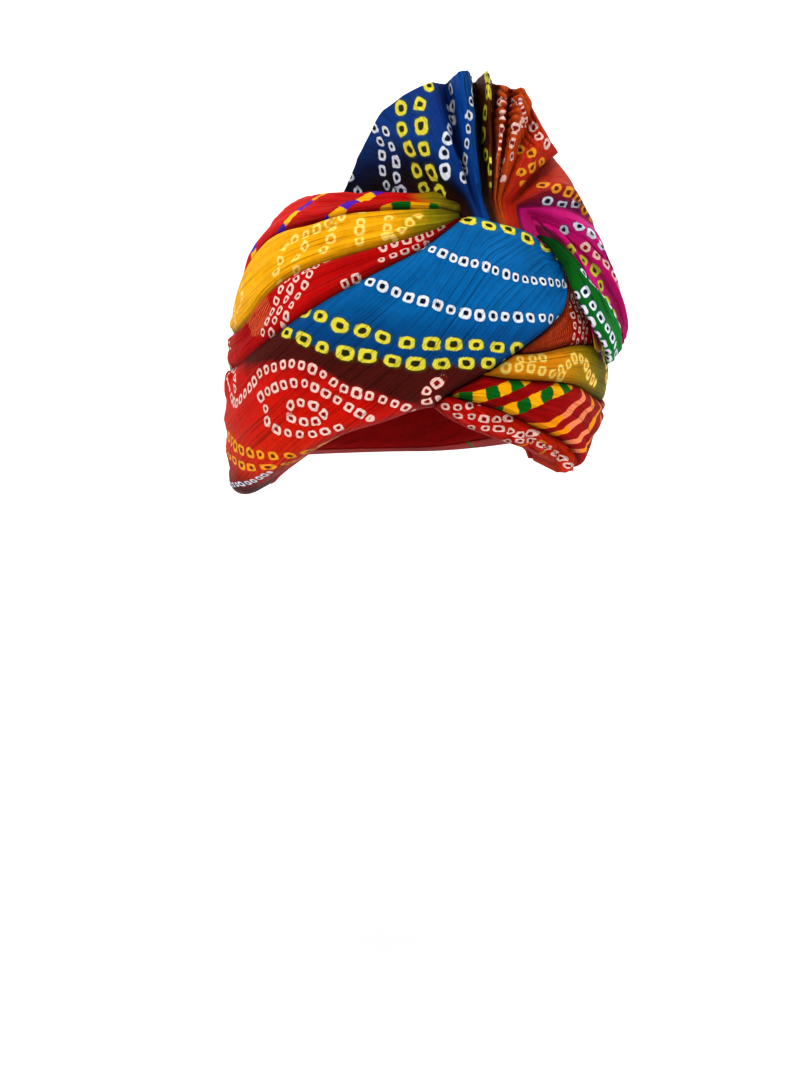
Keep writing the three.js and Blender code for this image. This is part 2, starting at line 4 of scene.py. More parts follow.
import bmesh
import bpy
import numpy as np
from bpy.props import FloatProperty, FloatVectorProperty, PointerProperty
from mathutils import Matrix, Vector


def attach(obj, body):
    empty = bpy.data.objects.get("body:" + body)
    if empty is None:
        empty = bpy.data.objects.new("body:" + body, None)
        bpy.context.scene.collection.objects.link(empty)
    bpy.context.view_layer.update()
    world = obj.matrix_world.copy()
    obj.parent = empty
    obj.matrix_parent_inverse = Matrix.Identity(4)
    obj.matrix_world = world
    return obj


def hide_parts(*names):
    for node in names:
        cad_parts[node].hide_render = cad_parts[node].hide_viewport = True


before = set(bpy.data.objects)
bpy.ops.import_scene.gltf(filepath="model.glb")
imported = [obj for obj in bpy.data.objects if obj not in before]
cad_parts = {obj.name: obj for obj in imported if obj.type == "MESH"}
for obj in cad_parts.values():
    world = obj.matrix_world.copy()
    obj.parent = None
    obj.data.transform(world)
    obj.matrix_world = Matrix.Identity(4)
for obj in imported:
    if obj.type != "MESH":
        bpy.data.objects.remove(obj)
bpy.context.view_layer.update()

# A tied turban. Each turn of tie-dyed cloth is its own sheet, laid in the place of the plain solid of
# the same name. Lengths are in millimetres until a piece becomes a mesh, which is in metres. Azimuth
# is measured from the front towards the side that the fan drapes down and elevation from brow level,
# both in degrees about the middle of the wound body.

bl_info = {
    "name": "Tied turban",
    "version": (1, 0, 0),
    "blender": (4, 5, 0),
    "location": "View3D > Sidebar > Turban",
    "description": "Builds the turns, fan and hem roll of a tied turban in dotted tie-dyed cloth",
    "category": "Add Mesh",
}

MM = 0.001
DEGREE = math.pi / 180
FULL_TURN = 2 * math.pi

# The wound body, and the hollow inside it.
CENTRE = np.array((4.5, 2.0, 45.0))
HALF_WIDTH, HALF_DEPTH, HEIGHT = 102.5, 120.0, 123.0
PLAN_POWER, PROFILE_POWER = 2.2, 2.75
HOLLOW_HALF_WIDTH, HOLLOW_HALF_DEPTH, HOLLOW_RISE = 78.5, 98.5, 105.0
FIRST_TURNS = 3.0  # thickness of the cloth wound first
MEAN_RADIUS = 108.0
ABOVE_ALL, BELOW_ALL = 90.0, -90.0  # an edge where a turn has no such neighbour

# Thickness of the lining, the crown's cover, and the fan and hem roll.
LINING_THICKNESS, CROWN_THICKNESS, FAN_THICKNESS = 2.2, 1.6, 0.7

# Edges of the turns, as (azimuth, elevation), the same as those of the solids. Five turns run on a
# little past the ends of their solids, so that no gap shows where turns cross.
RIM = (
    (-180, -22), (-120, -22), (-95, -27), (-80, -28), (-68, -26), (-59, -22.5), (-47, -17),
    (-32, -9), (-20, -3), (-10, 0.3), (4.5, 4.6), (8, 2), (15, -1.7), (28, -6.5), (41, -11.3),
    (45, -13.6), (48, -17), (53, -17.2), (62, -13.8), (75, -9.5), (95, -9.5), (135, -17),
)
# How far the rim rolls inward, and over what height.
RIM_INWARD = (
    (-180, 12), (-70, 12), (-50, 13), (-30, 14), (0, 15), (25, 14), (45, 13), (65, 15), (100, 14),
)
RIM_HEIGHT = (
    (-180, 16), (-70, 14), (-50, 22), (-30, 34), (0, 38), (25, 34), (45, 24), (65, 20), (100, 18),
)
# Upper and lower edges of the turns.
RING_LOW = (
    (-180, 37), (-120, 33), (-95, 31), (-85, 33), (-70, 44.5), (-60, 48.4), (-40, 50.7),
    (-20, 54.1), (0, 55.4), (10, 54.4), (16, 53), (20, 56.4), (30, 57.5), (40, 54), (46, 47),
    (49, 42.5), (60, 41), (80, 41), (130, 38),
)
YELLOW_LOW = (
    (-180, 19), (-120, 19), (-66, 22.7), (-57, 25.5), (-49, 31), (-40, 35.6), (-20, 40.8),
    (0, 45.9), (12, 49.3), (16, 51.2), (85, 40), (100, 35), (120, 29), (150, 22),
)
DOTTED_LOW = (
    (-175, 19), (-145, 11), (-120, 8), (-90, 9.5), (-64, 12.6), (-45, 19.3), (-30, 26.8),
    (-10, 36.5), (0, 41.2), (12, 48.6), (16, 51),
)
PANEL_TOP = ((16, 51), (20, 51.8), (27, 50), (40, 46.9), (43, 44.5), (49, 41.8))
PANEL_FRONT = (
    (4.5, 4.6), (6, 6.7), (17, 12.7), (25, 17.1), (40, 24.7), (44, 27), (46, 29.5), (48, 35.5),
    (49, 40),
)
PANEL_TAIL = ((-161, 4), (-145, -2), (-130, -10), (-118, -18), (-108, -24))
OLIVE_HIGH = ((16, 17), (30, 17.2), (50, 19), (75, 18), (120, 17), (150, 18), (180, 24), (230, 24))
OLIVE_LOW = (
    (16, 12.4), (23, 11.4), (39, 9.9), (48, 8.6), (62, 4.5), (75, 2), (120, 2), (180, 6),
    (232, 7.7),
)
STRIPED_LOW = (
    (4.5, 8.6), (12, 6.6), (21, 3.9), (30, -0.3), (45, -7.2), (50, -10.6), (54, -14.6), (57, -20),
)
CROWN_EDGE = ((-180, 62), (-60, 64), (0, 63), (35, 65), (90, 62))

# Where the dye of the front turn changes: from blue to maroon, and from maroon to red.
BLUE_ENDS = (
    (-180, 30), (-50, 30), (-44, 24), (-36, 21.4), (-30, 19.8), (-19, 17), (-10, 16), (0, 14.8),
    (10, 14.6), (20, 14.4), (49, 14),
)
MAROON_ENDS = (
    (-180, 16), (-64, 16), (-56, 14), (-50, 12), (-44.6, 13.4), (-39.5, 14.4), (-30, 14.6),
    (-24, 13.6), (-21, 12), (-17.6, 10), (-13.4, 8.4), (-8.8, 7.6), (-3, 5.8), (4.5, 4.8), (49, 3),
)

# Pleats of the fan: azimuth at the gather, end of the pleat, and how far it bows out half way. The
# first pleat of the second and third parts laps behind the last of the part before it, and the last
# pleat of all lies under the hem roll.
PLEATS = (
    (18.2, -38, -12, 158, 2), (19.2, -26, -28, 185, 3), (20.2, -15, -52, 206, 3),
    (21.2, -2, -58, 215, 3), (22.2, 12, -52, 222, 0), (23.1, 20, -38, 221, -4),
    (24.1, 26, -60, 227, 3), (25.1, 32, -54, 228, 0), (26, 34.2, -40, 224, -3),
    (26.2, 30.6, -42.5, 223.6, -2), (28.2, 36, -27, 222, -3), (28.8, 41.5, -58, 228, 2),
    (29.4, 46, -41, 221, -2), (30, 51, -58, 220, 2), (30.6, 55, -43, 218, -2),
    (31.2, 61, -58, 219, 3), (31.9, 67, -44, 208, 0), (32.3, 74, -53, 195, 4),
    (32.7, 80.8, -42, 184.2, 4), (32.4, 76, -42, 186.6, 2), (35.8, 78.5, -32, 183, 2),
    (36.6, 91, -50, 165, 8), (37.2, 100, -36, 149, 6), (38.4, 109, -44, 129, 11),
    (39.6, 117, -33, 109, 12), (40.4, 122, -31, 91, 15), (41.4, 120, -28, 80, 14),
    (44.6, 108, -46, 78, 14), (48.4, 102, -52, 80, 16),
)
FAN_ROOT_ELEVATION = 53.4
FAN_ROOT_LIFT = 4.6

# Centre line of the green hem roll: azimuth, elevation, half of its width, thickness.
ROLL = (
    (41, 44.6, 2.4, 4), (45.5, 42, 3.6, 6), (49, 37.4, 5.4, 8), (50.5, 32.4, 8, 10),
    (53.5, 28, 10.5, 12), (58, 24, 12.5, 13), (64, 19.8, 12.5, 13), (68, 15.6, 9, 11),
    (69, 12.6, 3, 5),
)
ROLL_LIFT = 5.8
UNDER_ROLL = 4.4

# Kinds of mark on the cloth.
RING, BIG_RING, WARM_RING, STRIPE, CHECK, GOLD_DOTS = 1, 2, 3, 4, 5, 6


def smooth_curve(rows, outside=None):
    """A curve through (azimuth, value) rows that doesn't overshoot. It goes on round the body, or has
    the outside value past its last row."""
    x = [row[0] for row in rows]
    y = [row[1] for row in rows]
    if outside is None:
        x, y = [x[-1] - 360, *x, x[0] + 360, x[1] + 360], [y[-1], *y, y[0], y[1]]
    x, y = np.array(x, float), np.array(y, float)
    rise = np.diff(y) / np.diff(x)
    before, after = np.r_[rise[0], rise], np.r_[rise, rise[-1]]
    product, total = before * after, before + after
    slope = np.where(product > 0, 2 * product / np.where(total == 0, 1, total), 0)
    start = x[1] if outside is None else x[0]

    def value(azimuth):
        turned = start + np.mod(np.asarray(azimuth, float) - start, 360)
        i = np.clip(np.searchsorted(x, turned, side="right") - 1, 0, len(x) - 2)
        span = x[i + 1] - x[i]
        t = (turned - x[i]) / span
        a = (1 + 2 * t) * (1 - t) ** 2 * y[i] + t * t * (3 - 2 * t) * y[i + 1]
        b = t * (1 - t) ** 2 * slope[i] - t * t * (1 - t) * slope[i + 1]
        found = a + span * b
        return found if outside is None else np.where(turned > x[-1] + 1e-9, outside, found)

    return value


rim, rim_inward, rim_height = map(smooth_curve, (RIM, RIM_INWARD, RIM_HEIGHT))
ring_low, crown_edge, yellow_low = map(smooth_curve, (RING_LOW, CROWN_EDGE, YELLOW_LOW))
dotted_low, panel_top, panel_front, panel_tail, olive_high, olive_low = (
    smooth_curve(rows, ABOVE_ALL)
    for rows in (DOTTED_LOW, PANEL_TOP, PANEL_FRONT, PANEL_TAIL, OLIVE_HIGH, OLIVE_LOW))
striped_low, blue_ends, maroon_ends = (
    smooth_curve(rows, BELOW_ALL) for rows in (STRIPED_LOW, BLUE_ENDS, MAROON_ENDS))


def lowest(*edges):
    """The lowest of several edges, as an edge."""
    return lambda az: np.minimum.reduce([edge(az) for edge in edges])


def only_between(first, last, edge):
    """An edge that counts only between two azimuths."""
    return lambda az: np.where((az > first) & (az < last), edge(az), ABOVE_ALL)


def panel_low(az):
    """Lower edge of the front turn: its tail at the back, the rim, then across the brow."""
    tail_ends, rim_ends = PANEL_TAIL[-1][0], PANEL_FRONT[0][0]
    return np.where(az < tail_ends, panel_tail(az), np.where(az < rim_ends, rim(az), panel_front(az)))


def striped_bottom(az):
    """Lower edge of the striped turn: the rim, or the roll that shows below it in front."""
    return np.maximum(rim(az), striped_low(az))


def unit(value):
    """A value held between 0 and 1."""
    return np.clip(value, 0, 1)


def ease(t):
    """A share from 0 to 1 that starts and ends softly."""
    return t * t * (3 - 2 * t)


def quarter_round(distance, width):
    """A quarter round: 1 at the very edge, 0 one width in from it."""
    return 1 - np.sqrt(1 - (1 - unit(distance / width)) ** 2)


def direction(az, el):
    """Unit vectors from the middle of the body."""
    az, el = np.broadcast_arrays(az, el)
    az, el = az * DEGREE, el * DEGREE
    return np.stack([np.sin(az) * np.cos(el), -np.cos(az) * np.cos(el), np.sin(el)], -1)


def body_radius(az, el):
    """Distance from the middle of the body to its smooth outside."""
    d = np.abs(direction(az, el))
    plan = (d[..., 0] / HALF_WIDTH) ** PLAN_POWER + (d[..., 1] / HALF_DEPTH) ** PLAN_POWER
    profile = (d[..., 2] / HEIGHT) ** PROFILE_POWER
    full = (plan ** (PROFILE_POWER / PLAN_POWER) + profile) ** (-1 / PROFILE_POWER)
    climb = (el - rim(az)) * DEGREE * full
    return full - rim_inward(az) * quarter_round(climb, rim_height(az))


def hollow_radius(az, el, grow):
    """Distance from the middle of the body to the hollow's wall, or a thickness outside it."""
    d = direction(az, el)
    x, y, z = HOLLOW_HALF_WIDTH + grow, HOLLOW_HALF_DEPTH + grow, HOLLOW_RISE + grow
    rise = np.where(el > 0, (d[..., 2] / z) ** 2, 0)
    square = (d[..., 0] / x) ** 2 + (d[..., 1] / y) ** 2 + rise
    half = d[..., 0] * CENTRE[0] / x**2 + d[..., 1] * CENTRE[1] / y**2
    rest = (CENTRE[0] / x) ** 2 + (CENTRE[1] / y) ** 2 - 1
    return (-half + np.sqrt(half * half - square * rest)) / square


def point_at(az, el, radius):
    """Points in millimetres at a distance from the middle of the body."""
    return direction(az, el) * np.asarray(radius)[..., None] + CENTRE


def on_body(az, el, lift=0.0):
    """Points on the body's smooth outside, or lifted off it."""
    return point_at(az, el, body_radius(az, el) + lift)


def lattice(x, y, seed):
    """A repeatable value from -1 to 1 for each whole cell, mixed by large odd numbers."""
    mixed = x.astype(np.int64) * 374761393 + y.astype(np.int64) * 668265263 + seed * 974711
    mixed = mixed & 0xFFFFFFFF
    mixed = ((mixed ^ (mixed >> 13)) * 1274126177) & 0xFFFFFFFF
    return ((mixed ^ (mixed >> 16)) & 0xFFFFFF) / 0x7FFFFF - 1


def ripple(x, y, seed):
    """Smooth waves of no fixed rhythm, from -1 to 1, about one cell long each way."""
    i, j = np.floor(x), np.floor(y)
    s, t = ease(x - i), ease(y - j)
    low = lattice(i, j, seed) * (1 - s) + lattice(i + 1, j, seed) * s
    high = lattice(i, j + 1, seed) * (1 - s) + lattice(i + 1, j + 1, seed) * s
    return low * (1 - t) + high * t


def creases(x, y, seed):
    """Sharp crests between soft valleys, from 0 to 1."""
    wide = 1 - np.abs(ripple(x, y, seed))
    narrow = 1 - np.abs(ripple(x * 2.3, y * 2.3, seed + 7))
    return 0.65 * wide**2 + 0.35 * narrow**2


MARK_STEP = 1.5  # spacing of the points that stand for a line of marks
UNMARKED = 3.0  # half marks from a line, past which there is no mark
NEW_LINE = 40.5  # marks from one line's count to the next, so that sizes don't repeat


def path_points(path, locate):
    """A smooth line of marks as closely spaced points, with the distance of each along it."""
    knots = np.array(path, float)
    dense = np.linspace(0, len(knots) - 1, 24 * len(knots))
    low = np.minimum(dense.astype(int), len(knots) - 2)
    t = (dense - low)[:, None]
    before, start = knots[np.maximum(low - 1, 0)], knots[low]
    end, after = knots[low + 1], knots[np.minimum(low + 2, len(knots) - 1)]
    square = 2 * before - 5 * start + 4 * end - after
    cube = 3 * start - before - 3 * end + after
    line = locate(*(start + 0.5 * ((end - before) * t + (square * t**2 + cube * t**3))).T)
    along = np.r_[0, np.cumsum(np.linalg.norm(np.diff(line, axis=0), axis=1))]
    even = np.linspace(0, along[-1], max(int(along[-1] / MARK_STEP), 4))
    return np.stack([np.interp(even, along, line[:, k]) for k in range(3)], 1), even


def lay_marks(points, lines, locate):
    """For each point of a cloth: which mark of the nearest line it is in, how far it is across that
    line, both as shares of a mark, and the kind of that line."""
    place, kind = np.zeros((2, len(points)))
    across, second = np.full((2, len(points)), 9.0)
    for number, (style, pitch, height, *path) in enumerate(lines):
        line, along = path_points(path, locate)
        closest = np.full(len(points), 1e9)
        where = np.zeros(len(points))
        for a, b, start, end in zip(line[:-1], line[1:], along[:-1], along[1:]):
            span = b - a
            t = unit(((points - a) @ span) / (span @ span))
            away = np.linalg.norm(points - a - t[:, None] * span, axis=1)
            nearer = away < closest
            closest[nearer] = away[nearer]
            where[nearer] = (start + (end - start) * t)[nearer]
        share = closest / (height / 2)
        take = share < across
        second = np.where(take, across, np.minimum(second, share))
        across[take] = share[take]
        place[take] = (where / pitch + NEW_LINE * number + 0.5)[take]
        kind[take] = style
    # Half way between two lines the marks fade, so that one line's don't run into the other's.
    half_way = unit(1.4 - 2 * (second - across)) * unit(across * 4 - 3.2)
    return place, np.minimum(across + half_way, UNMARKED), kind


def cloth_mesh(name, columns, rows, shape, closed=False):
    """A grid of cloth bent to a shape, which gives the points and the named maps for shares across
    and up the grid. Its faces are turned outwards, and a closed one is welded along its seam."""
    bm = bmesh.new()
    bmesh.ops.create_grid(bm, x_segments=columns, y_segments=rows, size=0.5)
    flat = np.array([vert.co[:2] for vert in bm.verts])
    flat = (flat - flat.min(0)) / (flat.max(0) - flat.min(0))
    points, maps = shape(flat[:, 0], flat[:, 1])
    for vert, point in zip(bm.verts, points * MM):
        vert.co = point
    mesh = bpy.data.meshes.new(name)
    bm.to_mesh(mesh)
    bm.free()
    corners = np.empty(len(mesh.loops), np.int32)
    mesh.loops.foreach_get("vertex_index", corners)
    for layer, values in maps.items():
        uv = mesh.uv_layers.new(name=layer)
        uv.data.foreach_set("uv", np.stack(values, -1)[corners].astype(np.float32).ravel())
    bm = bmesh.new()
    bm.from_mesh(mesh)
    if closed:
        bmesh.ops.remove_doubles(bm, verts=bm.verts, dist=2e-6)
    bm.normal_update()
    middle = Vector(CENTRE * MM)
    outward = sum(
        face.normal.dot((face.calc_center_median() - middle).normalized()) * face.calc_area()
        for face in bm.faces)
    if outward < 0:
        bmesh.ops.reverse_faces(bm, faces=bm.faces)
    for face in bm.faces:
        face.smooth = True
    bm.to_mesh(mesh)
    bm.free()
    piece = bpy.data.objects.new(name, mesh)
    bpy.context.scene.collection.objects.link(piece)
    return piece


def lay_cloth(node, grid, shape, thickness, closed=False):
    fineness = bpy.context.scene.turban.fineness
    columns, rows = (max(8, int(count * fineness)) for count in grid)
    piece = cloth_mesh(node + "_cloth", columns, rows, shape, closed)
    solidify = piece.modifiers.new("Cloth thickness", "SOLIDIFY")
    solidify.thickness = thickness * MM
    solidify.offset = -1
    piece.data.materials.append(dyed_cloth(**cloth_finishes()[node]))
    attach(piece, "root")
    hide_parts(node)


def srgb(*values):
    """A colour as a shader takes it, from display values of 0 to 255."""
    shares = [value / 255 for value in values]
    return tuple(s / 12.92 if s < 0.04045 else ((s + 0.055) / 1.055) ** 2.4 for s in shares)


class Net:
    """Adds nodes to one tree and wires them together."""

    def __init__(self, tree):
        self.tree = tree

    def add(self, kind, values=(), **settings):
        node = self.tree.nodes.new(kind)
        for key, value in settings.items():
            setattr(node, key, value)
        for key, value in dict(values).items():
            self.wire(node.inputs[key], value)
        return node

    def group(self, tree, **values):
        """A node group, its inputs given by their names with _ for a space."""
        values = {key.replace("_", " "): value for key, value in values.items()}
        return self.add("ShaderNodeGroup", values, node_tree=tree).outputs

    def wire(self, socket, value):
        if isinstance(value, bpy.types.NodeSocket):
            self.tree.links.new(value, socket)
        elif socket.type == "RGBA" and len(value) == 3:
            socket.default_value = (*value, 1)
        else:
            socket.default_value = value

    def math(self, operation, a, b=0.0, c=0.0):
        return self.add("ShaderNodeMath", {0: a, 1: b, 2: c}, operation=operation).outputs[0]

    def times(self, a, b):
        return self.math("MULTIPLY", a, b)

    def scaled(self, a, b, c):
        """a times b, plus c."""
        return self.math("MULTIPLY_ADD", a, b, c)

    def mix(self, share, a, b):
        return self.add("ShaderNodeMix", {0: share, 6: a, 7: b}, data_type="RGBA").outputs[2]

    def step(self, value, start, end):
        """From 0 at the start to 1 at the end, softly."""
        values = {"Value": value, "From Min": start, "From Max": end}
        return self.add("ShaderNodeMapRange", values, interpolation_type="SMOOTHSTEP").outputs[0]

    def noise(self, vector, scale, detail=2.0):
        """Noise from 0 to 1, with scale cells to one unit of the vector."""
        values = {"Vector": vector, "Scale": scale, "Detail": detail}
        return self.add("ShaderNodeTexNoise", values).outputs[0]

    def stretch(self, vector, scale, turn=0.0):
        values = {"Vector": vector, "Rotation": (0, 0, turn), "Scale": scale}
        return self.add("ShaderNodeMapping", values).outputs[0]

    def ramp(self, value, stops):
        node = self.add("ShaderNodeValToRGB", {"Fac": value})
        elements = node.color_ramp.elements
        while len(elements) < len(stops):
            elements.new(0.5)
        for element, (position, colour) in zip(elements, stops):
            element.position = position
            element.color = (*colour, 1)
        return node.outputs[0]

    def split(self, vector):
        return self.add("ShaderNodeSeparateXYZ", {0: vector}).outputs


def effect(name, inputs, outputs, build):
    """A node group with named sockets, built once. inputs are (name, kind, default), and outputs are
    the names of the values that build gives."""
    if name in bpy.data.node_groups:
        return bpy.data.node_groups[name]
    tree = bpy.data.node_groups.new(name, "ShaderNodeTree")
    for label, kind, default in inputs:
        socket = tree.interface.new_socket(label, in_out="INPUT", socket_type=f"NodeSocket{kind}")
        if default is not None:
            socket.default_value = default
    for label in outputs:
        kind = "Color" if label == "Colour" else "Float"
        tree.interface.new_socket(label, in_out="OUTPUT", socket_type=f"NodeSocket{kind}")
    net = Net(tree)
    source = tree.nodes.new("NodeGroupInput").outputs
    sink = tree.nodes.new("NodeGroupOutput").inputs
    for label, value in zip(outputs, build(net, source)):
        net.wire(sink[label], value)
    return tree


def weave_effect():
    """Plain cotton weave: crossing threads, with thick and thin ones among them."""
    def build(net, given):
        x, y, _ = net.split(given["Cloth"])
        pitch = net.math("DIVIDE", FULL_TURN * 1000, given["Thread pitch"])
        slubs = net.noise(net.stretch(given["Cloth"], (60, 900, 1)), 1.0, 1.0)
        warp, weft = (net.math("SINE", net.times(way, pitch)) for way in (x, y))
        crossing = net.times(warp, weft)
        height = net.scaled(crossing, 0.5, net.times(slubs, 0.8))
        tone = net.scaled(slubs, 0.5, net.scaled(crossing, 0.1, 0.25))
        return height, tone

    inputs = [("Cloth", "Vector", None), ("Thread pitch", "Float", 0.5)]
    return effect("Cotton weave", inputs, ("Height", "Tone"), build)


def crinkle_effect():
    """Long fine creases that run with the pull of the cloth, with painted shade in them and a painted
    highlight on their crests.
    """
    def build(net, given):
        turned = net.add("ShaderNodeVectorRotate", {"Vector": given["Cloth"], "Angle": given["Turn"]},
                         rotation_type="Z_AXIS").outputs[0]
        narrow = net.math("DIVIDE", 1000.0, given["Width"])
        long = net.math("DIVIDE", 1000.0, given["Length"])
        x, y, _ = net.split(turned)
        values = {0: net.times(x, long), 1: net.times(y, narrow), 2: given["Seed"]}
        lines = net.add("ShaderNodeCombineXYZ", values).outputs[0]
        main = net.noise(lines, 1.0, 3.0)
        crest = net.math("SUBTRACT", 1.0, net.math("ABSOLUTE", net.scaled(main, 4.0, -2.0)))
        crest = net.math("MAXIMUM", crest, 0.0)
        fold = net.noise(lines, 0.34, 2.0)
        shade = net.times(net.step(main, 0.56, 0.36), net.step(fold, 0.35, 0.7))
        height = net.scaled(crest, 0.4, net.scaled(fold, 1.6, main))
        return height, shade, crest

    inputs = [("Cloth", "Vector", None), ("Turn", "Float", 0.0), ("Length", "Float", 40.0),
              ("Width", "Float", 3.0), ("Seed", "Float", 0.0)]
    return effect("Pulled creases", inputs, ("Height", "Shade", "Crest"), build)


def tied_effect():
    """Marks left by tying: a ragged ring round a dark heart, or filled squares for stripes and
    checks."""
    def build(net, given):
        place, across, _ = net.split(given["Marks"])
        chance = net.add(
            "ShaderNodeTexWhiteNoise", {"W": net.math("FLOOR", place)}, noise_dimensions="1D")
        turn, size, shift = net.split(chance.outputs["Color"])
        along = net.math("SUBTRACT", net.math("FRACT", place), 0.5)
        along = net.scaled(shift, 0.1, net.math("SUBTRACT", along, 0.05))
        along = net.math("DIVIDE", net.math("ABSOLUTE", along), given["Length share"])
        grow = net.scaled(size, 0.35, 0.85)
        raggedness = given["Raggedness"]
        ragged = net.noise(given["Grain"], 330.0, 1.0)
        ragged = net.scaled(ragged, raggedness, net.times(raggedness, -0.5))
        power = net.scaled(turn, 1.8, 2.1)
        x, y = (net.math("POWER", net.times(way, grow), power) for way in (along, across))
        distance = net.math("POWER", net.math("ADD", x, y), net.math("DIVIDE", 1.0, power))
        distance = net.math("ADD", distance, ragged)
        ring = net.step(distance, 1.04, 0.9)
        heart = net.step(distance, given["Heart"], net.times(given["Heart"], 0.7))
        halo = net.step(distance, 1.4, 1.0)
        filled = net.step(net.math("ADD", across, net.times(ragged, 0.8)), 1.06, 0.92)
        uneven_place = net.math("ADD", place, net.times(ragged, 0.25))
        odd = net.step(net.math("PINGPONG", uneven_place, 1.0), 0.44, 0.56)
        return ring, heart, halo, filled, odd

    inputs = [("Marks", "Vector", None), ("Grain", "Vector", None), ("Length share", "Float", 0.38),
              ("Heart", "Float", 0.52), ("Raggedness", "Float", 0.36)]
    return effect("Tied marks", inputs, ("Ring", "Heart", "Halo", "Filled", "Odd"), build)


def dye_effect():
    """Dye that took unevenly: broad cloudy patches, fine mottling and the threads' own tone."""
    def build(net, given):
        cloudy = net.noise(given["Place"], 22.0, 3.0)
        mottled = net.noise(given["Place"], 260.0, 2.0)
        change = net.scaled(cloudy, 0.9, net.scaled(mottled, 0.5, -0.7))
        change = net.scaled(given["Tone"], 0.3, net.math("SUBTRACT", change, 0.12))
        bright = net.scaled(change, given["Unevenness"], given["Brightness"])
        values = {"Color": given["Colour"], "Value": bright}
        return net.add("ShaderNodeHueSaturation", values).outputs

    inputs = [("Colour", "Color", None), ("Place", "Vector", None), ("Tone", "Float", 0.5),
              ("Unevenness", "Float", 0.55), ("Brightness", "Float", 0.76)]
    return effect("Uneven dye", inputs, ("Colour",), build)


# How strongly the shared effects show in every cloth, and the depth of its relief in metres.
# Crest light is a painted highlight on the creases' crests, and crease shade is painted shade in
# them.
HALO, RING_BLEED, CREST_HIGHLIGHT, CREASE_SHADE = 0.3, 0.35, 0.26, 0.5
WEAVE_RELIEF, GRAIN_RELIEF, HEART_RELIEF, RELIEF_DEPTH = 0.12, 0.1, 0.35, 0.0014
# Painted shade near the edges of each piece, in the fan's valleys and between its ribs: how dark, and
# how far in on the edge map.
EDGE_SHADE, EDGE_REACH = 0.5, 0.4


def dyed_cloth(name, crinkle, stops, rings=(), checks=(), hatch=None, crease_depth=0.6,
               roughness=0.62, gloss=0.07):
    """Tie-dyed cotton. crinkle is the turn, length and width of the fine creases, stops the ground's
    colours along the dye map, rings the ring, heart and halo of each kind of mark, checks the even
    and odd squares of each kind of stripe, and hatch the dye where it starts and ends, its colour,
    lean and pitch."""
    material = bpy.data.materials.new(name)
    material.use_nodes = True
    material.node_tree.nodes.clear()
    net = Net(material.node_tree)
    cloth, marks, dye, edge = (
        net.add("ShaderNodeUVMap", uv_map=key).outputs[0]
        for key in ("cloth", "marks", "dye", "edge"))
    place = net.add("ShaderNodeTexCoord").outputs["Object"]
    weave = net.group(weave_effect(), Cloth=cloth)
    turn, length, width = crinkle
    pulled = net.group(
        crinkle_effect(), Cloth=cloth, Turn=turn, Length=length, Width=width, Seed=float(len(name)))
    tied = net.group(tied_effect(), Marks=marks, Grain=place)
    dye, kind, _ = net.split(dye)
    blur = net.scaled(net.noise(place, 90.0, 3.0), 0.05, -0.025)
    colour = net.ramp(net.math("ADD", dye, blur), stops)
    if hatch:
        start, end, line_colour, lean, pitch = hatch
        across = net.split(net.stretch(cloth, (1, 1, 1), lean))[0]
        bands = net.math("SINE", net.times(across, FULL_TURN * 1000 / pitch))
        uneven = net.scaled(net.noise(place, 300.0), 2.0, -1.0)
        lines = net.step(net.math("ADD", bands, uneven), -0.1, 0.6)
        colour = net.mix(net.times(lines, net.step(dye, start, end)), colour, line_colour)
    colour = net.group(dye_effect(), Colour=colour, Place=place, Tone=weave["Tone"])["Colour"]
    for style, (ring_colour, heart_colour, halo_colour) in dict(rings).items():
        here = net.math("COMPARE", kind, float(style), 0.5)
        colour = net.mix(net.times(net.times(tied["Halo"], here), HALO), colour, halo_colour)
        ring_tone = net.mix(net.times(weave["Tone"], RING_BLEED), ring_colour, halo_colour)
        colour = net.mix(net.times(tied["Ring"], here), colour, ring_tone)
        colour = net.mix(net.times(tied["Heart"], here), colour, heart_colour)
    for style, (even_colour, odd_colour) in dict(checks).items():
        here = net.times(net.math("COMPARE", kind, float(style), 0.5), tied["Filled"])
        colour = net.mix(here, colour, net.mix(tied["Odd"], even_colour, odd_colour))
    # Painted shade in the creases and a painted highlight on their crests, multiplied into the
    # colour.
    shade = net.scaled(pulled["Shade"], -CREASE_SHADE, 1.0)
    light = net.scaled(pulled["Crest"], CREST_HIGHLIGHT, shade)
    # Painted shade near the edges, where pieces overlap, read from the edge map.
    clear_of_edge = net.step(net.split(edge)[0], 0.0, EDGE_REACH)
    light = net.times(light, net.scaled(clear_of_edge, EDGE_SHADE, 1 - EDGE_SHADE))
    colour = net.add("ShaderNodeHueSaturation", {"Color": colour, "Value": light}).outputs[0]
    height = net.times(weave["Height"], WEAVE_RELIEF)
    height = net.scaled(pulled["Height"], crease_depth, height)
    height = net.scaled(net.noise(place, 700.0, 2.0), GRAIN_RELIEF, height)
    height = net.scaled(tied["Heart"], HEART_RELIEF, height)
    bump = net.add("ShaderNodeBump", {"Height": height, "Strength": 0.9, "Distance": RELIEF_DEPTH})
    surface = net.add("ShaderNodeBsdfPrincipled", {
        "Base Color": colour, "Roughness": net.scaled(weave["Tone"], 0.12, roughness - 0.06),
        "Normal": bump.outputs[0], "Specular IOR Level": gloss})
    net.add("ShaderNodeOutputMaterial", {"Surface": surface.outputs[0]})
    return material


def again(azimuths, kind, spacing, height, *path):
    """The same line of marks at each azimuth, its path given from there."""
    return [(kind, spacing, height, *((az + turned, el) for turned, el in path)) for az in azimuths]


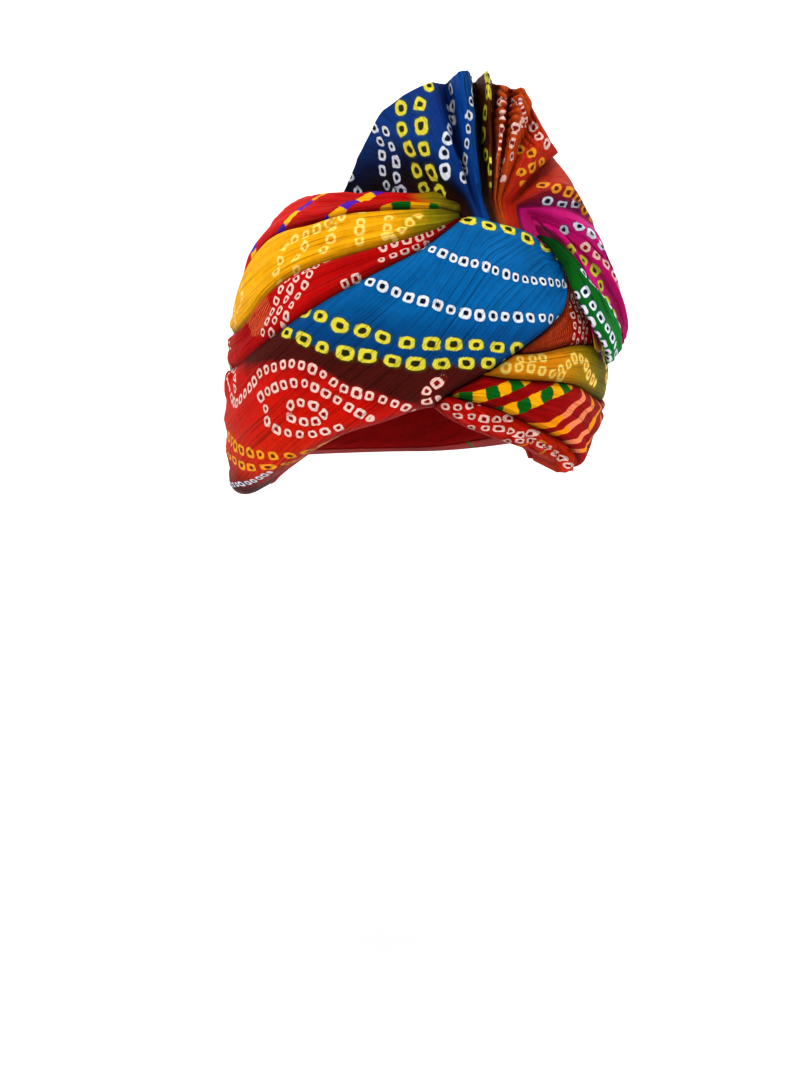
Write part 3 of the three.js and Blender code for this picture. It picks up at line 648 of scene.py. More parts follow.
# Lines of marks on the turns: kind, spacing, height, then the line's points as (azimuth, elevation).
PANEL_MARKS = [
    (BIG_RING, 11.4, 7.6, (17, 49.4), (22.6, 47.6), (29.6, 46.8), (35.5, 44.6), (42.8, 42.5),
     (48.5, 40)),
    (RING, 5.7, 5.2, (0, 43), (5.6, 40.5), (11, 38.5), (17.8, 36.8), (24.2, 35.1), (32.9, 33.6),
     (48.5, 33)),
    (RING, 7.2, 5.6, (-16, 34), (-8, 31.8), (-2.1, 29.8), (5.9, 27.8), (13.1, 25.9), (21.3, 25.4),
     (41, 24.6)),
    (BIG_RING, 11.6, 6.8, (-33, 27), (-29, 26.3), (-23.8, 25), (-18.1, 23), (-11.5, 21.8),
     (-5.1, 20.1), (1.9, 19.5), (15, 19.1), (20.4, 18.3), (29, 18)),
    (BIG_RING, 12.2, 6.8, (-41, 22.4), (-35.5, 21.7), (-30, 20.4), (-24.8, 18.7), (-19.1, 17.4),
     (-10.3, 16.5), (-2.2, 15.2), (10, 15.1), (22, 14.9)),
    (WARM_RING, 6.6, 5.4, (-76, 20), (-66.8, 5.1), (-63, 3.1), (-59.7, 2.5), (-54.7, 4.9),
     (-48.5, 8.7), (-44.6, 11.7), (-39.5, 13.2), (-31.8, 14.4), (-24.3, 12.7), (-17.6, 9),
     (-8.8, 6.9), (-1, 4)),
    (WARM_RING, 6.6, 5.2, (-70, 11.5), (-64, 12), (-60, 9.4), (-61, 6.4)),
    (WARM_RING, 6.6, 5.2, (-44.9, 4.6), (-42.5, 6.4), (-37.4, 8.6), (-29.4, 10), (-22.6, 7.9),
     (-15.8, 4.1), (-12, 2)),
    (WARM_RING, 7.2, 5.2, (-42.2, 3), (-41.4, 0.1), (-37.9, -2.1), (-32.3, -2.8), (-26.5, -2.4),
     (-17.9, 0)),
    (WARM_RING, 7, 5, (-33.5, 3.2), (-32, 5), (-29.1, 5.2), (-24.2, 4), (-24.2, 1.4), (-28.8, 0.4),
     (-33.2, 1.2)),
    (GOLD_DOTS, 9.6, 5.6, (-76, -8), (-66, -8.6), (-56.2, -9.6), (-40.5, -9.4), (-32.5, -8.8),
     (-22, -5)),
    (GOLD_DOTS, 12, 4.4, (-80, -13), (-59.6, -13.9), (-49.5, -13.6), (-36, -12)),
    (RING, 6, 3.4, (-84, -24), (-66, -20.6), (-56, -19), (-46, -15.2)),
    (WARM_RING, 6.8, 5, (6, 11.8), (4.9, 10.8), (2.4, 9), (2.3, 6.4), (5.4, 7)),
    (WARM_RING, 8.6, 6.2, (-76, 20), (-100, 5), (-124, -4), (-150, 9)),
    (WARM_RING, 8.6, 6.2, (-84, 4), (-96, -4), (-114, -12)),
    (BIG_RING, 13, 7.6, (-98, 12), (-124, 8), (-150, 14)),
]

DOTTED_MARKS = [
    (RING, 6, 3.8, (-31, 42.5), (-37.3, 35.8), (-41, 29.9), (-43.6, 24.4), (-45.8, 20.6)),
    (RING, 6.2, 3.7, (-26.6, 41), (-34.5, 34.5), (-38.1, 28.7), (-42, 21.4)),
    (RING, 6, 3.8, (-21, 41.5), (-28.8, 38), (-31.7, 32.8), (-35.4, 27.1), (-37.4, 23.6)),
    (RING, 6.4, 4.4, (-11.5, 41), (-5, 43.3), (1.5, 44.8), (8, 47.8)),
    (RING, 6.4, 4.2, (-10, 38.6), (-2.9, 41.2), (3, 43)),
    (RING, 6, 4.2, (-20.6, 32.4), (-15.4, 34.6)),
] + again((-72, -78, -84, -108, -114, -138, -144), RING, 7.2, 5, (0, 11), (-3, 17), (-1, 24))

TOP_MARKS = [
    (CHECK, 9, 6.4, (-14, 63), (-19.5, 60.7), (-27.4, 56.3), (-31, 52.6), (-38, 49)),
    (CHECK, 10, 6.4, (-46, 64), (-51.8, 61.2), (-55.2, 58), (-56, 53.6), (-60, 47.5)),
    (CHECK, 10, 6.2, (-90, 58), (-85.7, 50), (-76, 43), (-70, 38)),
    (STRIPE, 9.6, 4.4, (-13, 54.4), (-7, 55.8), (0, 55.8), (7, 55.2)),
] + again((-120, -150, 60, 84, 110, 138, 164), CHECK, 10, 6.4, (0, 62), (8, 54), (14, 46), (17, 38))

YELLOW_MARKS = [
    (RING, 7, 5.4, (0.5, 51.5), (-4.7, 47), (-7, 45)),
    (RING, 7.6, 5.4, (-10, 52.6), (-9.5, 45.2)),
    (RING, 7.4, 5.4, (-20.6, 53), (-17.7, 44), (-17, 42)),
    (RING, 6.6, 5.6, (-31.5, 51), (-27.9, 45.6), (-29, 40.5)),
    (RING, 7.2, 5.6, (-27, 50.4), (-34.8, 47.6), (-39.7, 46), (-44.7, 44.5), (-46.5, 41.7),
     (-45.3, 36), (-43, 33.6)),
    (RING, 7.2, 5.4, (-36, 44), (-38.6, 40.6), (-37.4, 37)),
] + again((-70, -82, -96, -104, -118, -130, -146, -158, -170, 176, 164, 150, 138),
          RING, 7.4, 5.4, (0, 34), (3, 28), (-2, 23), (-1, 20))

OLIVE_MARKS = [
    (RING, 7.6, 5.4, (21.7, 13.8), (28.5, 13.6), (34.6, 12.2), (41.9, 10.9)),
    (RING, 6.6, 5.6, (37.5, 12.3), (41.6, 13.6), (45.9, 15.4), (50.2, 14.3), (52.5, 11.2),
     (58.7, 8.4)),
    (RING, 7.2, 5.2, (26, 15.6), (33, 15.8)),
] + again(range(68, 228, 13), RING, 7.4, 5.4, (0, 16), (5, 11), (4, 6))

STRIPED_MARKS = [
    (CHECK, 7, 6.6, (10.4, 7), (14.6, 7.2), (17.7, 7.9), (20.3, 8.5), (23.5, 9.5), (26.3, 10.6),
     (31, 12.4)),
    (CHECK, 7.6, 7, (20.4, 2.8), (23.8, 3.8), (27.2, 4.5), (30.9, 5.8), (34.5, 6.9), (39, 8),
     (45, 9.6)),
    (STRIPE, 24, 3.8, (29.2, -0.8), (35.3, -0.9), (39.8, 0.5), (45.1, 2.8), (50.5, 5.5), (52, 8.6)),
    (STRIPE, 26, 3.6, (37.2, -4.2), (42, -2.7), (47.8, -0.8), (53.2, 1.2), (57.8, 3.5), (58.6, 6.5)),
    (STRIPE, 25, 3.2, (41.7, -7), (48.5, -5.6), (56.4, -3.2), (63.2, -0.7), (66.5, 3)),
    (STRIPE, 24, 2.8, (44.5, -9.2), (52.3, -9), (60.2, -6.6), (68, -4.2), (74, 0.6)),
] + again(range(80, 150, 10), STRIPE, 14, 4.4, (0, -20), (4, -10), (7, 0), (8, 8))
STRIPED_MARKS += again((160, 178, 196, 214), CHECK, 9, 6.2, (0, -20), (9, -8), (18, 4))

RIM_MARKS = [
    (RING, 6.6, 4.4, (7.1, 5), (9.7, 4.8), (12.4, 5), (16, 6)),
    (RING, 7, 4.4, (8.8, 2.9), (11.4, 2.4), (14.4, 2.3), (18.7, 1.4), (24, 1.6)),
    (RING, 6.8, 4.6, (14.7, -0.8), (19, -1), (23.5, -1.3), (26.4, -2.9), (32.2, -2.9)),
    (RING, 6.6, 4.6, (24, -5), (32.3, -5.1), (38.5, -8), (44, -11), (48, -14)),
    (STRIPE, 30, 1.5, (29, -6.4), (34, -5), (37, -6.6), (38, -10)),
]

HATCH_MARKS = again((47.6, 50.6, 53.4, 56.2), RING, 5.6, 3.6, (0, 18.4), (1.2, 24), (1, 31))
HATCH_MARKS += again(range(62, 150, 9), RING, 6.4, 4, (0, 19), (3, 28), (2, 40))

# Each turn: its name and cloth, the azimuths it spans, its two edges, how far it stands proud, how
# deep its edges are rolled in, its lengthwise folds, the fineness of its mesh, its creases (share of
# the depth, length, width, lean), its cut size in metres, its marks, whether its lower edge is the
# rim, and how strongly its creases swing upwards past the brow.
Turn = namedtuple(
    "Turn", "name slot first last low high proud roll_low roll_high folds fold_depth columns rows "
            "crease cut marks rim swing", defaults=(False, 0))
TURNS = (
    Turn("top_red_wrap", "checked_red_cloth", -180, 180, ring_low, crown_edge, 4.2, 1.4, 3,
         2, 0.6, 460, 44, (0.9, 46, 5.2, 0.05), (0.62, 0.055), TOP_MARKS),
    Turn("yellow_wrap", "yellow_cloth", 88, 376, yellow_low, ring_low, 3.6, 1, 1.8,
         3, 0.9, 440, 46, (1, 60, 3.4, 0), (0.52, 0.052), YELLOW_MARKS),
    Turn("dotted_red_wrap", "dotted_red_cloth", -174, 14.6, dotted_low, yellow_low, 4, 1, 1.8,
         2, 0.9, 300, 40, (1, 64, 4.4, 0), (0.35, 0.042), DOTTED_MARKS),
    Turn("front_panel", "blue_to_red_cloth", -160.9, 48.9, panel_low,
         lowest(dotted_low, panel_top, only_between(-400, -100, olive_low)), 5.4, 2.8, 2.6,
         4, 0.5, 360, 104, (0.6, 60, 6, 0), (0.4, 0.1), PANEL_MARKS, rim=True, swing=0.62),
    Turn("side_hatch_wrap", "hatched_red_cloth", 27.5, 158, olive_high,
         lowest(panel_front, ring_low, only_between(80, 200, yellow_low)), 2.6, 1.2, 1.2,
         2, 0.7, 220, 44, (0.7, 40, 4, 0.1), (0.24, 0.048), HATCH_MARKS),
    Turn("olive_wrap", "yellow_to_olive_cloth", 16.6, 229, olive_low,
         lowest(panel_front, olive_high, only_between(80, 200, yellow_low),
                only_between(180, 400, dotted_low)), 5, 2.2, 2.2,
         1, 0.8, 330, 34, (0.7, 60, 4.6, 0), (0.4, 0.045), OLIVE_MARKS),
    Turn("striped_wrap", "striped_red_cloth", 9, 247, striped_bottom,
         lowest(panel_front, olive_low, only_between(180, 400, panel_tail)), 3.8, 1.8, 1.6,
         3, 0.9, 380, 50, (0.9, 60, 5, 0), (0.46, 0.067), STRIPED_MARKS, rim=True),
    Turn("rim_roll", "rim_red_cloth", 5, 54, rim, lowest(panel_front, striped_low), 3, 0, 1.4,
         1, 0.8, 110, 40, (2.7, 12, 6.5, 0.7), (0.11, 0.042), RIM_MARKS, rim=True),
)
EDGE_GAP, LEAST_BAND = 0.1, 0.6  # degrees between two turns, and of the narrowest band
TUCK_LOW, TUCK_HIGH = 0.1, 0.07  # shares of the cloth that are tucked in
TUCK_DEPTH = 8.0
TUCK_GAP = 0.5
ROLL_WIDTH = 5.0
NOMINAL_WIDTH, NOMINAL_ROWS = 42.0, 46  # cloth width of a turn with so many mesh rows
END_ROLL, END_ROLL_WIDTH = 1.6, 2.0
SWING_START, SWING_EASE = -40, 20
BLUE_RUN, RED_RUN = 12, 26  # degrees over which the front turn's blue and red change
# Where the front turn is pinched and where the dotted turn is salmon: place, and width and height.
PINCH, SALMON = ((-72, 11), (11, 9)), ((-49, 26), (7, 6.5))
PINCH_DEPTH, PINCH_LENGTH, PINCH_WIDTH = 2.2, 4.5, 26


def patch(az, el, place, size):
    """A soft patch: 1 at its middle, falling away over its width and height."""
    return np.exp(-(((az - place[0]) / size[0]) ** 2) - ((el - place[1]) / size[1]) ** 2)


def to_end(share):
    """The distance of a share to the nearer of 0 and 1."""
    return np.minimum(share, 1 - share)


def turn_outside(turn, az, share):
    """The smooth outside of a turn without its creases, as elevation and radius, and the height of
    its band."""
    low, high = turn.low(az) + EDGE_GAP, turn.high(az) - EDGE_GAP
    high = np.maximum(high, low + LEAST_BAND)
    el = low + (high - low) * share
    base = body_radius(az, el)
    across = (high - low) * DEGREE * base
    width = np.minimum(ROLL_WIDTH, across * 0.4)
    rolled = turn.roll_low * quarter_round(share * across, width)
    rolled = rolled + turn.roll_high * quarter_round((1 - share) * across, width)
    fold = turn.fold_depth * np.cos(FULL_TURN * turn.folds * share) * np.minimum(1, across / 20)
    return el, base + turn.proud - rolled - fold, across


def turn_dye(turn, az, el, share):
    """The place on a turn's run of colours, from 0 to 1."""
    if turn.name == "front_panel":
        blue = blue_ends(az)
        maroon = np.minimum(maroon_ends(az), blue - 0.4)
        upper = np.maximum(1 - (el - blue) / BLUE_RUN, 0)
        between = 1 + (blue - el) / (blue - maroon)
        red = 2 + (maroon - el) / RED_RUN
        return np.where(el > blue, upper, np.where(el > maroon, between, red)) / 4
    if turn.name == "side_hatch_wrap":
        return unit(0.5 + (az - 47 - (el - 20) * 0.55) / 40)
    if turn.name == "dotted_red_wrap":
        return unit(0.3 + 0.7 * patch(az, el, *SALMON) - 0.3 * unit((-62 - az) / 16))
    return (az - turn.first) / (turn.last - turn.first)


def turn_shape(turn, depth):
    """The shape of a turn for cloth_mesh, with its edges tucked in under its neighbours."""
    span = turn.last - turn.first
    amount, length, width, lean = turn.crease
    seed = len(turn.name) * 3

    def shape(u, v):
        az = turn.first + span * u
        x = unit((v - TUCK_LOW) / (1 - TUCK_LOW - TUCK_HIGH))
        share = 0.7 * x + 0.3 * (0.5 - 0.5 * np.cos(math.pi * x))
        el, radius, across = turn_outside(turn, az, share)
        along = az * DEGREE * MEAN_RADIUS
        side = share * NOMINAL_WIDTH * max(1.0, turn.rows / NOMINAL_ROWS) + lean * along
        side = side - turn.swing * np.logaddexp(0, (along - SWING_START) / SWING_EASE) * SWING_EASE
        ends = 1.0 if span == 360 else np.minimum(1, to_end(u) * 40)
        inner = np.minimum(1, to_end(share) * 8)
        pulled = creases(along / length, side / width, seed) - 0.45
        pulled = pulled + 0.8 * ripple(along / (length * 0.4), side / (width * 2.4), seed + 3)
        radius = radius + depth * amount * pulled * (0.35 + 0.65 * inner) * (0.3 + 0.7 * ends)
        crumple = creases(along / PINCH_LENGTH, side / PINCH_WIDTH, seed + 5) - 0.5
        radius = radius + depth * PINCH_DEPTH * patch(az, el, *PINCH) * crumple
        if span != 360:
            run = to_end(u) * span * DEGREE * MEAN_RADIUS
            radius = radius - END_ROLL * quarter_round(run, END_ROLL_WIDTH)
        inside = hollow_radius(az, el, FIRST_TURNS + TUCK_GAP)
        bottom = inside if turn.rim else np.maximum(radius - TUCK_DEPTH, inside)
        radius = radius + (bottom - radius) * unit(1 - v / TUCK_LOW)
        top = np.maximum(radius - TUCK_DEPTH, inside)
        radius = radius + (top - radius) * unit(1 - (1 - v) / TUCK_HIGH)
        place, beside, kind = lay_marks(on_body(az, el), turn.marks, on_body)
        # The edge map: distance from the nearer edge, which paints shade near each edge where the
        # turns overlap.
        inward = to_end(share) * across / 10
        return point_at(az, el, radius), {
            "cloth": (along * MM, side * MM), "marks": (place, beside),
            "dye": (turn_dye(turn, az, el, share), kind), "edge": (inward, inward)}

    return shape


# Parts of the fan: name and cloth, first and last pleat, azimuths of the first and last pleat under
# the front turn, the fineness of the mesh, and the cut size in metres.
Fan = namedtuple("Fan", "name slot first last azimuths columns rows cut")
FANS = (
    Fan("fan_blue", "blue_fan_cloth", 0, 8, (17, 27), 120, 110, (0.09, 0.075)),
    Fan("fan_orange", "orange_fan_cloth", 9, 18, (26.6, 34.8), 140, 110, (0.09, 0.08)),
    Fan("fan_magenta", "magenta_fan_cloth", 19, 28, (34.4, 49), 110, 110, (0.08, 0.066)),
)
BEND_SAMPLES = (-0.12, -0.06, 0, 0.06, 0.12)  # shares of a pleat over which its fold is rounded
HIDDEN_DROP, HIDDEN_LIFT, HIDDEN_SHARE = 2.2, 2.2, 0.1  # foot of the fan under the front turn
FAN_WAVE = 1.3
CROSS_RIBS, RIB_DEPTH = 15, 2.6  # across the orange part
ROLL_SINK, ROLL_BACK = 1.2, 0.55  # how far the hem roll sinks in, and how flat its back is
ROLL_FOLD, ROLL_FOLDS = 0.9, 4
PLEAT_TABLE, PLEAT_COUNTS = np.array(PLEATS), np.arange(len(PLEATS))
ROLL_TABLE, ROLL_STATIONS = np.array(ROLL, float), np.arange(len(ROLL))

# Lines of marks on the fan, their points as (pleat of that part, share of the way to its end).
FAN_MARKS = {
    "fan_blue": [
        (RING, 8.4, 6, (1.64, 0.99), (1.41, 0.88), (0.89, 0.77), (0.56, 0.72), (0.3, 0.6)),
        (RING, 8.6, 6, (1.86, 0.92), (1.69, 0.87), (1.33, 0.73), (1.15, 0.68), (0.84, 0.63),
         (0.44, 0.56), (0.1, 0.4)),
        (RING, 9, 6, (0.5, 1), (0.3, 0.92), (0.05, 0.8)),
        (BIG_RING, 11.4, 7.6, (2.9, 0.99), (2.37, 0.86), (2.02, 0.76), (1.76, 0.63), (1.23, 0.5),
         (0.69, 0.38), (0.2, 0.2)),
        (BIG_RING, 12.6, 7.4, (3.9, 0.98), (3.19, 0.85), (2.79, 0.7), (1.9, 0.48), (1.44, 0.35),
         (0.73, 0.23)),
        (RING, 9, 6, (5.24, 0.99), (5.19, 0.84), (4.31, 0.64), (3.46, 0.5), (2.2, 0.3)),
        (RING, 8.4, 6, (7.7, 0.96), (7.1, 0.8), (6.61, 0.69), (6, 0.57), (5.59, 0.45), (3.89, 0.24)),
    ],
    "fan_orange": [
        (BIG_RING, 12, 7.6, (2.2, 0.99), (1.8, 0.8), (1.25, 0.5), (1.82, 0.32), (2, 0.18)),
        (RING, 8, 5.6, (3.7, 0.92), (3.8, 0.83), (3.89, 0.71), (3.98, 0.52), (5, 0.35),
         (5.65, 0.25)),
        (RING, 7.4, 5.4, (5.4, 0.88), (6.72, 0.82), (6.26, 0.72), (6, 0.57), (6.64, 0.4)),
        (WARM_RING, 8, 5.6, (7.3, 0.95), (7.43, 0.85), (8.19, 0.9), (8.6, 0.96)),
        (GOLD_DOTS, 9, 6.6, (7.1, 0.6), (7.63, 0.67), (8.54, 0.55), (8.8, 0.7)),
        (GOLD_DOTS, 9, 5.6, (7.4, 0.4), (8.2, 0.42), (8.8, 0.36)),
    ],
    "fan_magenta": [
        (GOLD_DOTS, 9, 6.4, (1.6, 0.5), (2.2, 0.62), (2.3, 0.86), (3, 0.96)),
        (RING, 9.6, 5.8, (2.52, 0.34), (2.86, 0.52), (2.7, 0.75), (2.54, 0.98)),
        (RING, 9.6, 5.8, (5.98, 0.3), (4.44, 0.49), (3.93, 0.74), (4.01, 0.95)),
        (WARM_RING, 8.6, 5.2, (6.4, 0.4), (5.6, 0.6), (5.3, 0.8), (5.2, 0.97)),
        (BIG_RING, 10, 6.6, (7.9, 0.38), (7.31, 0.51), (7.12, 0.57), (7.48, 0.68), (7.37, 0.83),
         (7.31, 0.98)),
    ],
}

# Lines of marks on the hem roll, as (share of the way round, share of the way down).
GREEN_MARKS = [
    (BIG_RING, 10, 5.2, (0.1, 0.04), (0.13, 0.18), (0.14, 0.28)),
    (RING, 8.4, 5.4, (0.15, 0.38), (0.14, 0.52), (0.13, 0.64), (0.12, 0.86)),
    (RING, 8.6, 5.4, (-0.04, 0.4), (-0.05, 0.52), (-0.05, 0.64), (-0.05, 0.84)),
    (RING, 8.8, 5.4, (0.33, 0.3), (0.34, 0.5), (0.33, 0.86)),
]


def pleat_line(fan, index, share):
    """Points on the fan between its pleats. index counts pleats and may lie between two."""
    low = np.clip(np.floor(index), fan.first, fan.last - 1).astype(int)
    t = index - low
    root_az, x, y, z, bow = (
        PLEAT_TABLE[low, column] * (1 - t) + PLEAT_TABLE[low + 1, column] * t for column in range(5))
    root = on_body(root_az, FAN_ROOT_ELEVATION, FAN_ROOT_LIFT)
    point = root + (np.stack([x, y, z], -1) - root) * share[..., None]
    away = point - CENTRE
    away = away / np.linalg.norm(away, axis=-1, keepdims=True)
    point = point + away * (bow * 4 * share * (1 - share))[..., None]
    start, end = fan.azimuths
    hidden_az = start + (end - start) * (index - fan.first) / (fan.last - fan.first)
    hidden_el = panel_top(np.clip(hidden_az, PANEL_TOP[0][0], PANEL_TOP[-1][0])) - HIDDEN_DROP
    hidden = on_body(hidden_az, hidden_el, HIDDEN_LIFT)
    blend = ease(unit(1 - share / HIDDEN_SHARE))[..., None]
    return point * (1 - blend) + hidden * blend


def tuck_under_roll(points):
    """The drape of the fan where it passes under the hem roll, pressed to the body."""
    table = ROLL_TABLE[::-1]
    away = points - CENTRE
    radius = np.linalg.norm(away, axis=-1)
    az = np.degrees(np.arctan2(away[:, 0], -away[:, 1]))
    el = np.degrees(np.arcsin(away[:, 2] / radius))
    middle, half = (np.interp(el, table[:, 1], table[:, k]) for k in (0, 2))
    beside = np.abs(az - middle) * DEGREE * MEAN_RADIUS * np.cos(el * DEGREE) - half
    beside = np.maximum(beside, (el - table[-1, 1]) * DEGREE * MEAN_RADIUS)
    limit = body_radius(az, el) + UNDER_ROLL + 2.5 * np.clip(beside, 0, 40)
    return away / radius[:, None] * np.minimum(radius, limit)[:, None] + CENTRE


def fan_dye(name, pleat, share):
    """The place on the run of colours of a part of the fan, from 0 to 1."""
    if name == "fan_blue":
        return unit(0.1 + 0.13 * pleat - 0.35 * (0.9 - share) * (pleat < 5))
    if name == "fan_orange":
        return unit(pleat / 9)
    return np.clip(pleat / 8.6, 0, 0.94) + 0.4 * unit(share - 0.86) * (pleat > 6.4)


def fan_shape(fan, depth):
    """The shape of a part of the fan for cloth_mesh, its pleats softly bent."""
    seed = len(fan.name) * 5

    def near(index, shift, share):
        return pleat_line(fan, np.clip(index + shift, fan.first, fan.last), share)

    def shape(u, share):
        index = fan.first + (fan.last - fan.first) * u
        smooth = sum(near(index, shift, share) for shift in BEND_SAMPLES) / len(BEND_SAMPLES)
        outer = pleat_line(fan, index, np.minimum(share + 0.01, 1))
        outer = outer - pleat_line(fan, index, np.maximum(share - 0.01, 0))
        normal = np.cross(near(index, 0.05, share) - near(index, -0.05, share), outer)
        normal = normal / np.maximum(np.linalg.norm(normal, axis=1, keepdims=True), 1e-9)
        wave = creases(index * 1.7, share * 2.2, seed) - 0.4
        wave = wave + 0.5 * ripple(index * 3.1, share * 6, seed + 1)
        wave = FAN_WAVE * wave * unit(share * 2.2)
        # A pleat in a valley between two others gets painted shade through the edge map, and so do
        # the orange part's cross ribs in their valleys. The foot of the fan is painted darker too.
        pleat_y = [
            np.interp(np.clip(index + s, fan.first, fan.last), PLEAT_COUNTS, PLEAT_TABLE[:, 2])
            for s in (-1, 0, 1)]
        valley = unit((pleat_y[1] - sum(pleat_y) / 3) / 9)
        inward = np.clip(share * 8, 0, 0.4) * (1 - 0.85 * valley * unit(share * 3))
        if fan.name == "fan_orange":
            middle = np.exp(-(((index - fan.first - 5.6) / 2.2) ** 4)) * unit(share * 4 - 2)
            uneven = 0.7 * ripple(index * 0.8, share * 4, seed + 2)
            ribs = np.abs(np.sin(math.pi * (share * CROSS_RIBS + uneven)))
            wave = wave + RIB_DEPTH * middle * (ribs - 0.6)
            inward = inward * (1 - 0.75 * middle * (1 - ribs) ** 2)
        points = smooth + normal * (depth * wave)[:, None]
        if fan.name == "fan_magenta":
            points = tuck_under_roll(points)
        place, beside, kind = lay_marks(
            smooth, FAN_MARKS[fan.name], lambda pleat, s: pleat_line(fan, pleat + fan.first, s))
        return points, {
            "cloth": (share * 0.1, (index - fan.first) * 0.016), "marks": (place, beside),
            "dye": (fan_dye(fan.name, index - fan.first, share), kind), "edge": (inward, inward)}

    return shape


def roll_shape(depth):
    """The green hem roll: a hollow fold of cloth round its centre line, drawn to a point at each
    end."""
    def centre_line(place, columns):
        place = np.clip(place, 0, len(ROLL) - 1)
        return (np.interp(place, ROLL_STATIONS, ROLL_TABLE[:, column]) for column in columns)

    def locate(turn, v):
        place = v * (len(ROLL) - 1)
        az, el, half, thick = centre_line(place, range(4))
        close = np.sqrt(unit(1 - (np.abs(v - 0.5) * 2) ** 10))
        radius = body_radius(az, el) + ROLL_LIFT + thick / 2 - ROLL_SINK
        ahead, behind = (
            point_at(*centre_line(place + step, (0, 1)), radius) for step in (0.02, -0.02))
        along = ahead - behind
        along = along / np.linalg.norm(along, axis=-1, keepdims=True)
        away = direction(az, el)
        angle = FULL_TURN * turn
        x = half * np.cos(angle) * close
        y = thick / 2 * np.sin(angle) * close * np.where(np.sin(angle) < 0, ROLL_BACK, 1)
        return point_at(az, el, radius) + np.cross(along, away) * x[..., None] + away * y[..., None]

    def shape(u, v):
        smooth = locate(u, v)
        away = direction(*centre_line(v * (len(ROLL) - 1), (0, 1)))
        fold = ROLL_FOLD * np.cos(FULL_TURN * u * ROLL_FOLDS + 2 * np.sin(v * 7))
        fold = fold * unit(np.sin(math.pi * v) * 3)
        wave = fold + depth * (creases(u * 9, v * 3, 5) - 0.4)
        points = smooth + away * (wave * np.sin(FULL_TURN * u).clip(0, 1) ** 0.5)[:, None]
        place, beside, kind = lay_marks(smooth, GREEN_MARKS, locate)
        # The edge map paints shade towards both ends of the roll.
        inward = unit(to_end(v) * 6)
        return points, {"cloth": (v * 0.08, u * 0.04), "marks": (place, beside), "dye": (v, kind),
                        "edge": (inward, inward)}

    return shape


def lining_shape(bottom, grow, depth, seed):
    """A dome of cloth over the hollow, from an edge up to the pole."""
    def shape(u, v):
        az, low = 360 * u, bottom(360 * u)
        el = low + (90 - low) * v
        wave = depth * ripple(u * 24, v * 7, seed) * unit((1 - v) * 4)
        radius = hollow_radius(az, el, grow) + wave * np.cos(math.pi * (u - 0.5)) ** 0.2
        none = np.zeros_like(u)
        return point_at(az, el, radius), {
            "cloth": (u * FULL_TURN * MEAN_RADIUS * MM, v * 0.15), "marks": (none, none + UNMARKED),
            "dye": (v, none), "edge": (none + 1, none)}

    return shape


def dye(name, description, *values):
    """A dye that a user may change, from display values of 0 to 255."""
    return FloatVectorProperty(
        name=name, description=description, default=srgb(*values), subtype="COLOR", size=3,
        min=0, max=1)


class TurbanSettings(bpy.types.PropertyGroup):
    """Sizes of the turban's cloth, and the stage's lens and light"""

    cloth_thickness: FloatProperty(
        name="Cloth thickness", description="Thickness of one laid turn, in millimetres",
        default=1.1, min=0.4, max=3)
    crease_depth: FloatProperty(
        name="Crease depth", description="How deep the pulled creases are, in millimetres",
        default=1.0, min=0, max=2)
    fineness: FloatProperty(
        name="Fineness", description="Share of the full number of mesh columns and rows",
        default=1.0, min=0.2, max=1.2, subtype="FACTOR")
    lens: FloatProperty(
        name="Lens", description="Focal length of the camera, in millimetres",
        default=75.37, unit="CAMERA")
    key_power: FloatProperty(
        name="Key light", description="Power of the main soft light", default=15.0, unit="POWER")
    floor_colour: FloatVectorProperty(
        name="Floor", description="Colour of the pale floor and backdrop",
        default=(0.93, 0.93, 0.93), subtype="COLOR", size=3)


class TurbanDyes(bpy.types.PropertyGroup):
    """The main dyes of the cloth"""

    red: dye("Red", "Ground of the top ring and the dotted turn", 205, 16, 10)
    deep_red: dye("Deep red", "Ground of the hatched turn", 150, 4, 6)
    orange_red: dye("Orange red", "Lower part of the front turn", 216, 48, 8)
    maroon: dye("Maroon", "Middle of the front turn", 84, 22, 16)
    dark_maroon: dye("Dark maroon", "First pleat of the fan", 52, 12, 12)
    near_black: dye("Near black", "Deepest dye between the parts of the fan", 20, 8, 10)
    orange: dye("Orange", "Back end of the dotted turn", 186, 62, 10)
    salmon: dye("Salmon", "Hatching on the dotted turn", 226, 120, 66)
    yellow: dye("Yellow", "Ground of the yellow turn, and checks", 250, 178, 8)
    gold: dye("Gold", "Ends of the olive turn, and stripes", 238, 150, 4)
    olive: dye("Olive", "Middle of the olive turn", 120, 112, 10)
    green: dye("Green", "Hem roll, and odd checks", 10, 104, 26)
    dark_green: dye("Dark green", "Top of the hem roll", 4, 58, 18)
    bright_green: dye("Bright green", "Lower part of the hem roll", 16, 140, 50)
    navy: dye("Navy", "Second pleat of the fan", 3, 22, 66)
    deep_blue: dye("Deep blue", "Last pleat of the blue part", 0, 74, 138)
    plum: dye("Plum", "Between the red and the magenta of the fan", 126, 10, 74)
    magenta: dye("Magenta", "Middle of the magenta part", 218, 0, 124)
    purple: dye("Purple", "Odd checks of the top ring", 84, 26, 168)


# Tied marks: the dye of the ring, of its heart and of the halo round it.
WHITE_RING = (srgb(232, 236, 240), srgb(10, 22, 50), srgb(2, 60, 120))
PINK_RING = (srgb(244, 212, 200), srgb(140, 10, 10), srgb(180, 10, 8))
LEMON_RING = (srgb(230, 216, 70), srgb(44, 44, 16), srgb(70, 96, 10))
GOLD_RING = (srgb(240, 170, 40), srgb(120, 30, 6), srgb(190, 50, 6))
CREAM_RING = (srgb(246, 218, 120), srgb(216, 148, 16), srgb(232, 170, 30))
WARM_MARKS = {BIG_RING: LEMON_RING, WARM_RING: PINK_RING, GOLD_DOTS: GOLD_RING}


